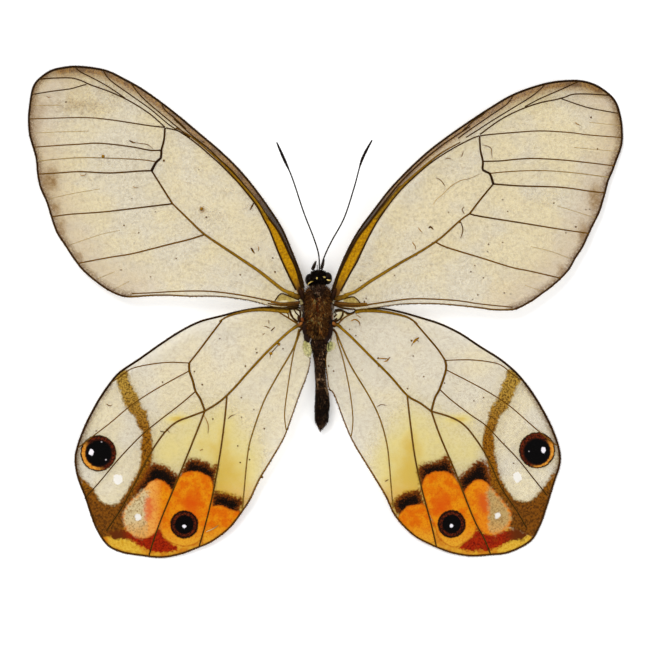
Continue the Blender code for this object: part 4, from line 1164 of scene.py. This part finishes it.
thorax = rounded_copy("thorax", "thorax_skin", 1, 0.2)
abdomen = rounded_copy("abdomen", "abdomen_skin", 2, 0.04)
head = rounded_copy("head", "head_shell", 1, 0.0)
print("body forms:", len(thorax.data.polygons), len(abdomen.data.polygons), len(head.data.polygons))

# %% [markdown]
# Body materials. The abdomen is a dark tube of overlapping scaled rings, matt with a faint shine.
# The eyes are smooth black domes of thousands of tiny lenses, which a fine Voronoi bump gives.

# %% Body materials
SKIN_MM, SCALES_MM, FINE_MM, SHEEN_MM = 0.35, 0.22, 0.07, 0.4
skin_dark, tree, shader, place = new_material("dark_scaled_skin", 0.7)
tone = add(tree, "noise", place, 1.0 / SKIN_MM, 4.0, 0.65)
tree.links.new(fade(tree, tone, 0.35, 0.7, "#160A04", "#38200E"), shader.inputs["Base Color"])
thorax.data.materials.append(skin_dark)

RING_MM = 0.98
PALE_BAND_MM = -6.95
RING_DEPTH = 0.12 * MM
abdomen_skin, tree, shader, place = new_material("scaled_abdomen", 0.55)
along = add(tree, "y", place)
rings = add(tree, "pingpong", along, RING_MM / 2)
seam = add(tree, "ramp", rings, 0.09, 0.0)
tone = add(tree, "noise", place, 1.0 / SCALES_MM, 4.0, 0.65)
colour = fade(tree, tone, 0.35, 0.72, "#120804", "#35200F")
colour = add(tree, "mix", add(tree, "multiply", seam, 0.5), colour, "#5A3C22")
tail = add(tree, "ramp", along, -8.0, -9.0, 0.7)
colour = add(tree, "mix", tail, colour, "#080402")
from_band = add(tree, "absolute", add(tree, "subtract", along, PALE_BAND_MM))
band = add(tree, "ramp", from_band, 0.14, 0.05)
band = add(tree, "multiply", band, add(tree, "ramp", tone, 0.35, 0.55))
colour = add(tree, "mix", band, colour, "#8E7458")
tree.links.new(colour, shader.inputs["Base Color"])
fine = add(tree, "noise", place, 1.0 / FINE_MM, 2.0, 0.55)
step = add(tree, "add", add(tree, "multiply", rings, 1.0), add(tree, "multiply", fine, 0.25))
tree.links.new(add(tree, "bump", step, 0.6, RING_DEPTH), shader.inputs["Normal"])
abdomen.data.materials.append(abdomen_skin)

FACET_MM, FACET_DEPTH = 0.03, 0.006 * MM
eye_shell, tree, shader, place = new_material("black_eye_lens", 0.18, 1.5)
cells = add(tree, "cells", place, 1.0 / FACET_MM)
tree.links.new(add(tree, "bump", cells, 0.35, FACET_DEPTH), shader.inputs["Normal"])
brown = fade(tree, add(tree, "noise", place, 1.0 / SHEEN_MM, 3.0, 0.55), 0.45, 0.7, "#060303",
             "#1C100A")
tree.links.new(brown, shader.inputs["Base Color"])
head.data.materials.append(eye_shell)
print("body materials ready")

# %% [markdown]
# Hair. The body is furred with soft scaly hair. Particle hair would not be exported, so each hair
# is a tiny three-sided spike of real mesh, rooted at a random place on the skin. It leaves the skin
# along its normal, is combed backwards and bends. One mesh holds a whole coat.

# %% Hair maker
LOWEST_MM, HIGHEST_MM = 0.02, 3.1
hair_material, tree, shader, _ = new_material("scaly_hair", 0.6)
tree.links.new(add(tree, "tint"), shader.inputs["Base Color"])


def spikes(name, roots, ahead, bend, sizes, thick, colours):
    """One mesh of three-sided tapered hairs, each bent once on its way."""
    total = len(roots)
    middle = roots + ahead * sizes * 0.55
    tips = middle + bend * sizes * 0.45
    for points in (middle, tips):
        points[:, 2] = np.clip(points[:, 2], LOWEST_MM, HIGHEST_MM)
    rng = np.random.default_rng(total)
    across = np.cross(ahead, rng.normal(0, 1, (total, 3)))
    across /= np.linalg.norm(across, axis=1)[:, None] + 1e-12
    other = np.cross(ahead, across)
    rings = []
    for centre, share in ((roots, 1.0), (middle, 0.8)):
        for angle in (0.0, 2 * math.pi / 3, 4 * math.pi / 3):
            rings.append(centre + thick * share
                         * (math.cos(angle) * across + math.sin(angle) * other))
    rings.append(tips)
    vertices = np.stack(rings, axis=1).reshape(-1, 3)
    first = 7 * np.arange(total)[:, None]
    faces = []
    for corners in ([0, 1, 4, 3], [1, 2, 5, 4], [2, 0, 3, 5], [3, 4, 6], [4, 5, 6], [5, 3, 6],
                    [2, 1, 0]):
        faces += [tuple(f) for f in (first + np.array([corners])).tolist()]
    piece = finish_mesh(name, vertices, faces, colours=np.repeat(colours, 7, axis=0))
    piece.data.materials.append(hair_material)
    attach(piece, "root")
    print(name, total, "hairs")
    return piece


def unit(vectors):
    """Vectors of the same directions, each 1 long."""
    return vectors / (np.linalg.norm(vectors, axis=1)[:, None] + 1e-12)


def grow_hair(name, skin, count, length, radius, lean, spread, pick_colour, seed, keep=None):
    """A coat of hairs rooted at random on a skin, leaning one way with some spread."""
    rng = np.random.default_rng(seed)
    mesh = skin.data
    mesh.calc_loop_triangles()
    corners = np.empty(len(mesh.loop_triangles) * 3, dtype=np.int64)
    mesh.loop_triangles.foreach_get("vertices", corners)
    points = np.empty(len(mesh.vertices) * 3)
    mesh.vertices.foreach_get("co", points)
    a, b, c = np.moveaxis((points.reshape(-1, 3) / MM)[corners.reshape(-1, 3)], 1, 0)
    normal = np.cross(b - a, c - a)
    area = np.linalg.norm(normal, axis=1)
    chosen = rng.choice(len(area), size=count, p=area / area.sum())
    u, v = rng.random(count)[:, None], rng.random(count)[:, None]
    flip = (u + v > 1)[:, 0]
    u[flip], v[flip] = 1 - u[flip], 1 - v[flip]
    roots = a[chosen] + u * (b - a)[chosen] + v * (c - a)[chosen]
    normals = unit(normal[chosen])
    if keep is not None:
        kept = keep(roots, normals)
        roots, normals = roots[kept], normals[kept]
    total = len(roots)
    ahead = unit(normals + np.array(lean) + rng.normal(0, spread, (total, 3)))
    bend = unit(ahead + 0.9 * np.array(lean) + rng.normal(0, spread, (total, 3)))
    sizes = rng.uniform(*length, total)[:, None]
    thick = rng.uniform(*radius, total)[:, None]
    return spikes(name, roots, ahead, bend, sizes, thick, pick_colour(roots, rng))


def palette(*choices):
    """A colour picker: each hair takes a colour by its weight, a little lighter or darker."""
    colours = np.array([linear(c) for c, _ in choices])
    weights = np.array([w for _, w in choices], dtype=float)
    weights /= weights.sum()

    def pick(roots, rng):
        index = rng.choice(len(colours), size=len(roots), p=weights)
        shade = rng.uniform(0.7, 1.3, (len(roots), 1))
        result = colours[index] * shade
        result[:, 3] = 1.0
        return result
    return pick


print("hair maker ready")

# %% [markdown]
# The coats. Each part of the body has hair of its own colour: black-brown in front, warm brown
# behind, rust in the middle and grey beside the wing roots. A colour is picked hair by hair, and
# tufts share a shade, because evenly mixed hair looks like plain cloth from afar.

# %% Coats of hair
FRONT_DARK = palette(("#1C1008", 5), ("#38241A", 4), ("#6A5038", 1.4), ("#8E7862", 0.6))
BACK_BROWN = palette(("#2E1808", 4), ("#7A4516", 4), ("#A87438", 2.0), ("#C8A468", 1.2))
RUST = palette(("#7A3410", 3), ("#944A1A", 1.2), ("#4A220C", 4))
GREY_TAN = palette(("#46362A", 2.5), ("#766453", 2), ("#A8967E", 1))
SCLERITE_BROWN = palette(("#2A1508", 3), ("#5A3412", 3), ("#A06A34", 1))


def tufted(colours, roots, rng, tufts=320):
    """Hairs of one tuft share a shade, so that strands show from afar."""
    spread = roots * (1.0, 0.4, 1.0)
    centres = spread[rng.choice(len(roots), tufts, replace=False)]
    nearest = ((spread[:, None, :] - centres[None]) ** 2).sum(axis=2).argmin(axis=1)
    result = colours * rng.choice([0.3, 0.75, 1.4, 2.8], tufts)[nearest][:, None]
    result[:, 3] = 1.0
    return np.minimum(result, 1.0)


def thorax_colour(roots, rng):
    """Black-brown in front, warm brown behind, with a rusty middle."""
    result = FRONT_DARK(roots, rng)
    behind = roots[:, 1] + rng.normal(0, 0.3, len(roots)) < 1.15
    result[behind] = BACK_BROWN(roots[behind], rng)
    middle = (np.abs(roots[:, 0] + 0.05) < 0.16) & (np.abs(roots[:, 1] - 0.35) < 0.85)
    rusty = middle & (rng.random(len(roots)) < 0.6)
    result[rusty] = RUST(roots[rusty], rng)
    return tufted(result, roots, rng)


def side_colour(roots, rng):
    """Grey tufts beside the wing roots, dark brown behind them."""
    result = SCLERITE_BROWN(roots, rng)
    beside = np.abs(roots[:, 1] - 0.35) + rng.normal(0, 0.12, len(roots)) < 0.26
    beside &= np.abs(roots[:, 0]) > 1.08
    result[beside] = GREY_TAN(roots[beside], rng)
    return result


def collar_colour(roots, rng):
    """A brown collar with two pale spots at its sides."""
    result = FRONT_DARK(roots, rng)
    pale = (np.abs(roots[:, 0]) > 0.72) & (rng.random(len(roots)) < 0.6)
    result[pale] = GREY_TAN(roots[pale], rng)
    return tufted(result, roots, rng, 120)


# The two dark browns are the scales' own colour. The pale third colour is partly their own tone and
# partly painted highlight: scattered pale hairs stand for the faint shine of the scales.
ABDOMEN_BROWN_AND_HIGHLIGHT = palette(("#0A0402", 4), ("#341C0E", 3.5), ("#86684A", 1.8))
DARK_TAIL_MM = -8.6
PALE_SIDE_MM = (1.0, -7.8)


def abdomen_colour(roots, rng):
    """Dark brown scale rings, pale hairs as painted highlight, a pale worn patch on the right side.
    """
    result = tufted(ABDOMEN_BROWN_AND_HIGHLIGHT(roots, rng), roots, rng, 160)
    result[roots[:, 1] < DARK_TAIL_MM, :3] *= 0.45
    worn = np.hypot(roots[:, 0] - PALE_SIDE_MM[0], 0.7 * (roots[:, 1] - PALE_SIDE_MM[1])) < 0.32
    result[worn] = linear("#A88862")
    return result


def in_front(roots, normals):
    """A test for the front of the thorax, apart from its underside."""
    return (roots[:, 1] > 1.7) & (normals[:, 2] > -0.2)


def between_eyes(roots, normals):
    """A test for the top of the head, where no lenses are."""
    return (np.abs(roots[:, 0] - 0.04) < 0.72) & (roots[:, 2] > 0.7)


def facing_out(side):
    """A test for the skin of one side, above the wing roots."""
    def keep(roots, normals):
        return (normals[:, 0] * side > 0.35) & (roots[:, 2] > 0.9)
    return keep


coat = grow_hair("thorax_hair", thorax, 10000, (0.25, 0.6), (0.012, 0.026), (0.0, -0.9, 0.15),
                 0.42, thorax_colour, 11)
coat = grow_hair("collar_hair", thorax, 9000, (0.3, 0.62), (0.012, 0.022), (0.0, 0.75, 0.35), 0.4,
                 collar_colour, 14, keep=in_front)
for side, name in ((-1, "left"), (1, "right")):
    coat = grow_hair(f"side_hair_{name}", thorax, 9000, (0.35, 0.8), (0.012, 0.022),
                     (0.55 * side, -0.45, 0.1), 0.4, side_colour, 15 + side, keep=facing_out(side))
coat = grow_hair("abdomen_hair", abdomen, 6500, (0.08, 0.26), (0.01, 0.018), (0.0, -1.2, 0.0),
                 0.35, abdomen_colour, 12)
coat = grow_hair("head_hair", head, 5200, (0.12, 0.3), (0.010, 0.018), (0.0, 0.05, 0.1), 0.5,
                 palette(("#0C0604", 6), ("#24160C", 2), ("#4A3A28", 0.4)), 13, keep=between_eyes)
print("coats grown")

# %% [markdown]
# The fringe. Tiny scales stick out all along the wing margins, densest on the outer margin. They
# grow like hair, but from the margin line and straight outwards.

# %% Margin fringe
FRINGE = palette(("#1A0C04", 5), ("#33200C", 4), ("#6A4A1E", 2))
for name, wing in WINGS.items():
    rng = np.random.default_rng(31)
    edge = wing["edge"]
    run = np.roll(edge, -1, axis=0) - edge
    outward = np.column_stack([run[:, 1], -run[:, 0], np.zeros(len(run))])
    if depth_inside(edge[:1] + 0.05 * unit(outward)[:1, :2], edge)[0] > 0:
        outward = -outward
    chosen = rng.integers(0, len(edge), 2600)
    flat = edge[chosen] + rng.random(len(chosen))[:, None] * run[chosen]
    roots = np.column_stack([flat, skin_height(flat, wing)])
    ahead = unit(unit(outward[chosen]) + rng.normal(0, 0.45, roots.shape) * (1.0, 1.0, 0.3))
    sizes = rng.uniform(0.08, 0.2, len(roots))[:, None]
    thick = rng.uniform(0.016, 0.032, len(roots))[:, None]
    fringe = spikes(name + "_fringe", roots, ahead, ahead, sizes, thick, FRINGE(roots, rng))
print("fringes done")

# %% [markdown]
# The hinge plates. Beside the thorax lie small hard plates, amber to black, on which the wings
# turn, and two soft pale lobes behind them. Each is a UV sphere stretched and turned, because a
# sphere stays round and closed however flat it is pressed. They are joined to one piece a side.

# %% Hinge plates
plate_material = tinted_material("hinge_chitin", 0.45, 0.2, 3.0, 0.55, 0.4, 0.62, 0.45)
plate_shader = plate_material.node_tree.nodes["Principled BSDF"]
plate_shader.inputs["Specular IOR Level"].default_value = 0.08


def lump(centre_px, height, half_sizes, turn, colour):
    """A stretched, turned ball of one colour."""
    x, y = at(centre_px)
    bpy.ops.mesh.primitive_uv_sphere_add(segments=20, ring_count=12, radius=1.0,
                                         location=(x * MM, y * MM, height * MM),
                                         rotation=(0.0, 0.0, math.radians(turn)),
                                         scale=[s * MM for s in half_sizes])
    ball = bpy.context.object
    bpy.ops.object.transform_apply(location=True, rotation=True, scale=True)
    ball.data.shade_smooth()
    layer = ball.data.attributes.new("tint", "FLOAT_COLOR", "POINT")
    layer.data.foreach_set("color", list(linear(colour)) * len(ball.data.vertices))
    return ball


def join_lumps(name, lumps):
    """All balls of one side as one piece."""
    bpy.ops.object.select_all(action="DESELECT")
    for ball in lumps:
        ball.select_set(True)
    bpy.context.view_layer.objects.active = lumps[0]
    bpy.ops.object.join()
    piece = lumps[0]
    piece.name = name
    piece.data.materials.append(plate_material)
    bpy.ops.object.transform_apply(location=True, rotation=True, scale=True)
    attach(piece, "root")
    return piece


PLATES = {
    "left": [
        ((302.5, 319.5), 2.25, (0.16, 0.24, 0.14), 15, "#8A4A1C"),
        ((300.3, 324), 2.1, (0.3, 0.16, 0.13), 35, "#A0622A"),
        ((304.5, 316), 2.2, (0.24, 0.4, 0.16), 0, "#1E0E06"),
        ((302.2, 308.3), 2.3, (0.2, 0.36, 0.14), 5, "#544434"),
        ((302, 301.5), 2.1, (0.24, 0.5, 0.12), 0, "#3A2210"),
        ((305.2, 325), 2.0, (0.34, 1.1, 0.16), 0, "#241006"),
        ((305.5, 331.5), 1.95, (0.16, 0.3, 0.13), 10, "#7A4A24"),
        ((307, 338), 1.9, (0.3, 0.5, 0.12), 20, "#241006"),
        ((303.2, 297), 2.35, (0.2, 0.8, 0.08), 12, "#2C170A"),
        ((299.8, 291), 2.38, (0.1, 0.4, 0.05), 18, "#5A360E")],
    "right": [
        ((332.3, 317), 2.3, (0.08, 0.3, 0.1), 0, "#8E6A50"),
        ((333.6, 323.4), 2.1, (0.28, 0.15, 0.13), -30, "#A0622A"),
        ((330, 320.5), 2.15, (0.3, 0.5, 0.14), 0, "#100604"),
        ((332.4, 307), 2.3, (0.2, 0.34, 0.14), -5, "#5C4E42"),
        ((330, 328), 2.0, (0.3, 1.05, 0.16), 0, "#241006"),
        ((328.6, 332), 1.95, (0.15, 0.26, 0.13), -10, "#7A4A24"),
        ((327.2, 338), 1.9, (0.28, 0.5, 0.12), -20, "#241006"),
        ((331.8, 298), 2.35, (0.2, 0.8, 0.08), -12, "#2C170A"),
        ((335.6, 292.6), 2.38, (0.1, 0.4, 0.05), -18, "#5A360E")]}
LOBES = {
    "left": [
        ((307.4, 348.5), 1.9, (0.4, 0.85, 0.07), 14, "#C6BE86"),
        ((305.6, 344.5), 1.94, (0.2, 0.4, 0.06), 14, "#B0A868"),
        ((310, 357), 1.9, (0.12, 0.12, 0.05), 0, "#D8CDB0")],
    "right": [
        ((329.6, 346.4), 1.9, (0.26, 0.55, 0.07), -12, "#A8A468"),
        ((328.5, 346), 1.93, (0.07, 0.42, 0.05), -6, "#4A4A20")]}
for side in ("left", "right"):
    plates = join_lumps("hinge_plates_" + side, [lump(*p) for p in PLATES[side]])
    lobes = join_lumps("soft_lobes_" + side, [lump(*p) for p in LOBES[side]])
print("plates:", sum(len(p) for p in PLATES.values()))

# %% [markdown]
# Cream marks on the head. They lie on its surface, so each traced point is dropped from above
# until it meets the head.

# %% Head marks
bpy.context.view_layer.update()


def dropped(piece, point_px, lift_mm):
    """A traced point laid on a piece from above."""
    x, y = at(point_px)
    hit, place, _, _ = piece.ray_cast(Vector((x * MM, y * MM, 0.02)), Vector((0, 0, -1)))
    return (x, y, (place.z / MM if hit else 1.5) + lift_mm)


HEAD_MARKS = [
    (1.1, [(307.2, 286.2), (308.2, 284.4), (310, 282.6), (313.2, 281.2)]),
    (2.6, [(316.1, 278.6), (316.9, 278.5), (317.6, 278.9)]),
    (1.9, [(323.0, 276.6), (324.3, 277.4), (325.6, 277.2)]),
    (1.5, [(326.6, 279.6), (328.8, 280.4), (330.8, 280.3)])]
marks = []
for width, points in HEAD_MARKS:
    path = smooth([dropped(head, p, 0.06) for p in points], 0.05)
    path[:, 2] = np.minimum(path[:, 2], HIGHEST_MM - 0.1)
    radii = 0.5 * width * MM_PER_PX * np.sin(np.linspace(0.35, math.pi - 0.35, len(path)))
    marks.append((path, radii, colour_run("#EBD488", "#D8B24A", len(path))))
vertices, faces, colours = tube_mesh(marks)
piece = finish_mesh("head_marks", vertices, faces, colours=colours)
piece.data.materials.append(hair_material)
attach(piece, "root")
print("head marks:", len(HEAD_MARKS))

# %% [markdown]
# Feelers. The antennae are chains of tiny drums that swell into a slim club. A tube whose radius
# pinches at every joint gives that.

# %% Feelers
feeler = tinted_material("scaled_feeler", 0.5, 0.12, 3.0, 0.55, 0.45, 0.65, 0.7)
ANTENNAE = {
    "antenna_left": [(319.3, 270.2, 2.05), (318.7, 255, 2.4), (313.7, 238.2, 2.6),
        (303.8, 212.8, 2.7), (292.5, 178.9, 2.6), (284, 159.2, 2.4), (276.8, 142.7, 2.2)],
    "antenna_right": [(322, 270.2, 2.05), (323.6, 259, 2.4), (331.3, 242, 2.6),
        (344, 218.5, 2.7), (354, 188.2, 2.6), (361.8, 160.5, 2.4), (372, 140.5, 2.2)]}
SEGMENT_MM = 0.32
CLUB_MM = 3.0
for name, route in ANTENNAE.items():
    points = np.array([(*at(p), p[2]) for p in route])
    path = smooth(points, 0.08)
    along = np.concatenate([[0], np.cumsum(np.linalg.norm(np.diff(path, axis=0), axis=1))])
    club = np.clip((along - along[-1] + CLUB_MM) / CLUB_MM, 0, 1)
    radius = 0.075 + 0.075 * np.sin(np.pi * club ** 0.8)
    pinch = 1.0 - 0.22 * np.exp(-((along % SEGMENT_MM) / 0.05) ** 2)
    radius = radius * pinch
    radius[-1] *= 0.5
    shade = colour_run("#1E120A", "#120905", len(path))
    vertices, faces, colours = tube_mesh([(path, radius, shade)], sides=10)
    piece = finish_mesh(name + "_drums", vertices, faces, colours=colours)
    piece.data.materials.append(feeler)
    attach(piece, "root")
    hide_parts(name)
    print(name, round(float(along[-1]), 1), "mm long")

# %% [markdown]
# Palps, tongue and legs. Their solids already have the true form, so each gets a rounded copy. The
# palps in front of the head are furred, and the rest lies hidden below and stays plain.

# %% Palps, tongue and legs
LEG_GRAIN_MM = 0.15
plain, tree, shader, place = new_material("scaled_leg", 0.6)
tone = add(tree, "noise", place, 1.0 / LEG_GRAIN_MM, 3.0, 0.6)
tree.links.new(fade(tree, tone, 0.35, 0.65, "#1E120A", "#4A3420"), shader.inputs["Base Color"])
for side in ("left", "right"):
    palp = rounded_copy("palp_" + side, f"palp_{side}_form", 1, 0.02)
    palp.data.materials.append(skin_dark)
    coat = grow_hair(f"palp_{side}_hair", palp, 500, (0.08, 0.2), (0.008, 0.014), (0.0, 1.2, 0.3),
                     0.3, palette(("#0E0704", 4), ("#3A2A1C", 3), ("#8A7A66", 1.5)), 21)
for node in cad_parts:
    if "leg" in node or node == "tongue":
        form = rounded_copy(node, node + "_form", 1, 0.0)
        form.data.materials.append(plain)
print("palps, tongue and legs done")

# %% [markdown]
# Dust and damage. Threads, crumbs and dried smears lie on the wings. Threads are thin tubes and
# crumbs are small squashed balls, laid on the skin where the photograph shows them, because the
# eye takes a specimen without any dust for a drawing.

# %% Dust tracing
THREAD, CRUMB, SMEAR = "#6E4A10", "#3A2206", "#A8781C"
DUST = {
    "forewing_left": {
        "threads": [
            (1.6, CRUMB, [(129.5, 140.5), (133, 142.5), (136, 142.8)]),
            (0.8, THREAD, [(136, 142.8), (140, 143.5), (147, 144.5), (151, 147), (153.5, 149.5)]),
            (1.9, CRUMB, [(251.3, 248), (253, 251), (254.6, 253.6)]),
            (0.8, SMEAR, [(258, 246), (259, 249), (258, 251.5)]),
            (1.6, CRUMB, [(254, 203), (252.5, 206), (250, 210.5)]),
            (0.9, CRUMB, [(193, 135.5), (192, 139)]),
            (0.9, CRUMB, [(202, 141.5), (205.5, 143)]),
            (0.8, SMEAR, [(80, 175), (84, 175.5), (86.5, 173)]),
            (0.7, SMEAR, [(50, 96), (48, 97), (46, 95.5)]),
            (0.7, SMEAR, [(133, 186.5), (136, 188), (139, 187.5)])],
        "crumbs": [(103, 156.3, 1.7), (65.5, 101.7, 0.9), (124, 225.5, 0.9), (139, 233, 0.8),
            (121.5, 270, 0.8), (151, 277, 0.7), (155.5, 212, 0.6), (176.5, 258.5, 0.8),
            (240.5, 275, 0.9), (273, 258, 0.8), (275, 272, 1.0), (202, 209, 1.7),
            (206.5, 217.5, 1.0), (164, 161, 1.2), (199, 170, 0.6), (132, 198.5, 0.6),
            (112, 95, 0.6)]},
    "forewing_right": {
        "threads": [
            (0.8, THREAD, [(445, 159.4), (448, 158.5), (451, 159.2)]),
            (0.8, THREAD, [(461, 157), (462.5, 154), (463, 151)]),
            (0.9, THREAD, [(436, 178), (441, 181), (445, 187)]),
            (0.7, "#C0A05C", [(433, 205), (436, 200), (443, 194), (450, 187), (460, 181),
                (470, 178.5), (482, 173)]),
            (0.8, THREAD, [(483, 145), (488, 146.5), (491, 148.5), (491.5, 152), (492, 159)]),
            (0.9, THREAD, [(464, 207), (462, 210), (464.5, 214.5)]),
            (1.8, CRUMB, [(428.5, 228.5), (430, 227), (432, 228.5), (433, 230)]),
            (0.9, SMEAR, [(412, 242.5), (415, 246.5), (415.5, 250)]),
            (0.8, SMEAR, [(418, 228), (422, 233)]),
            (1.2, CRUMB, [(460.5, 222), (462.5, 229), (461.5, 235), (460, 238.5)]),
            (0.9, SMEAR, [(575, 122), (578, 124), (581, 125)])],
        "crumbs": [(459.5, 222.3, 1.2), (447, 248, 1.0), (432.5, 243.5, 1.4), (416, 255, 1.1),
            (396, 266.5, 1.2), (384, 273.5, 1.3), (591.5, 117, 1.0), (507.5, 211.5, 0.7),
            (502.5, 199.7, 0.7), (554, 203, 0.8), (586, 209.5, 0.7), (590, 209, 0.6),
            (474.5, 265.5, 0.7), (470.5, 272, 0.7), (502.5, 242.5, 0.7), (488.5, 244.5, 0.8),
            (487.5, 251.5, 0.6), (566, 233, 0.7), (483, 278, 0.7), (477.5, 295, 0.7),
            (472.5, 299.5, 0.6), (504, 293, 0.8), (510.5, 294, 0.6), (394.5, 275.5, 0.7),
            (360.5, 280.5, 0.8), (448, 212.5, 0.6), (364.3, 301.5, 0.9), (366, 298.5, 0.7),
            (598, 148.5, 0.8), (576, 227, 0.9)]},
    "hindwing_left": {
        "threads": [
            (0.9, CRUMB, [(279, 344.5), (276, 347.5), (273, 351), (271, 353.5), (270, 359)]),
            (1.2, CRUMB, [(271, 331), (273, 329), (275, 327)]),
            (0.9, THREAD, [(264, 326), (267, 326.8), (270, 328.5)]),
            (0.8, THREAD, [(269, 320), (269, 324)]), (0.8, THREAD, [(262.5, 335), (265, 333)]),
            (0.9, THREAD, [(228, 419), (231, 416), (235, 414.5)]),
            (0.8, SMEAR, [(204, 415), (208, 424), (208, 434)]),
            (1.1, CRUMB, [(160, 431), (164.5, 432), (167, 429)]),
            (0.8, THREAD, [(166, 428.5), (170, 433)]),
            (1.1, THREAD, [(106, 404), (110, 406), (112, 404.5)]),
            (0.8, SMEAR, [(200, 450.5), (203, 449)]),
            (0.8, "#E8D8A0", [(206, 532), (213, 529), (219, 525)])],
        "crumbs": [(279, 344.5, 1.6), (271, 353.5, 1.7), (194.5, 371.5, 0.9),
            (202.5, 384.5, 0.9), (245.5, 366, 0.9), (257, 352.5, 0.9), (256, 349, 0.7),
            (220, 338.5, 0.8), (264.5, 428.5, 0.9), (241.5, 397.5, 0.8), (241.5, 417, 0.7),
            (238, 446, 0.7), (213, 419, 0.8), (162.5, 382, 0.8), (96, 431, 0.8), (249, 449, 0.9),
            (240.5, 462.5, 0.8), (249.5, 459.5, 0.8), (262, 477, 1.3), (223.5, 432, 0.9),
            (254, 409.5, 0.7), (283, 348.5, 0.8)]},
    "hindwing_right": {
        "threads": [
            (2.4, SMEAR, [(413, 343), (415.5, 340), (419, 337.5)]),
            (0.8, THREAD, [(413, 343), (411, 346)]), (0.8, THREAD, [(416, 339), (419, 342)]),
            (1.2, SMEAR, [(378, 358), (383, 358.5), (389, 359)]),
            (1.4, SMEAR, [(384, 361.5), (387, 360.5), (390, 357)]),
            (0.8, THREAD, [(377, 407), (381, 404.5), (387, 405.5)]),
            (1.0, THREAD, [(385, 481.5), (388.5, 479.5)]),
            (0.9, THREAD, [(501, 441), (503, 443.5), (505.5, 443)]),
            (0.9, THREAD, [(488, 415), (491, 417.5)]), (0.8, SMEAR, [(356, 314.5), (361, 318)]),
            (1.4, SMEAR, [(351, 321), (355, 319.5), (359, 322), (360, 326)])],
        "crumbs": [(411.5, 340.5, 1.1), (413, 356, 0.8), (474, 401, 0.8), (407.5, 388.5, 0.9),
            (423.5, 376.5, 0.8), (444.5, 383, 0.8), (483.5, 397.5, 0.8), (514, 463.5, 0.8),
            (378, 358, 1.1), (356, 335.5, 0.8), (349.5, 329.5, 0.7), (378.5, 366, 0.9),
            (333.5, 371, 0.9), (328.5, 366, 0.9), (362, 370, 0.6)]}}


def on_skin(points_px, wing, lift_mm):
    """Traced pixels laid on a wing, a little above its skin."""
    flat = trace(points_px)
    return np.column_stack([flat, skin_height(flat, wing) + VEIN_SWELL + SKIN / 2 + lift_mm])


def pebble(centre, radius, rng):
    """A crumb: a low, uneven eight-sided tube, as a path with radii."""
    path = centre + np.array([[0, 0, -0.4], [0, 0, 0.0], [0, 0, 0.5], [0, 0, 0.8]]) * radius
    path[:, :2] += rng.normal(0, 0.12 * radius, (4, 2))
    return path, radius * np.array([0.8, 1.0, 0.75, 0.2])


for name, dust in DUST.items():
    wing = WINGS[name]
    rng = np.random.default_rng(41)
    lines = []
    for width, colour, points in dust["threads"]:
        path = smooth(on_skin(points, wing, 0.02), 0.06)
        path[:, 2] += 0.02 * rng.random() + 0.015 * np.sin(np.linspace(0, 3, len(path)))
        radii = 0.5 * width * MM_PER_PX * np.sin(np.linspace(0.5, math.pi - 0.3, len(path)))
        lines.append((path, radii, colour_run(colour, THREAD, len(path))))
    for x, y, size in dust["crumbs"]:
        path, radii = pebble(on_skin([(x, y)], wing, 0.01)[0], size * MM_PER_PX, rng)
        lines.append((path, radii, colour_run(CRUMB, SMEAR if size > 1.4 else THREAD, 4)))
    vertices, faces, colours = tube_mesh(lines)
    piece = finish_mesh(name + "_dust", vertices, faces, colours=colours)
    piece.data.materials.append(hair_material)
    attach(piece, "root")
    print(name, len(lines), "threads and crumbs")
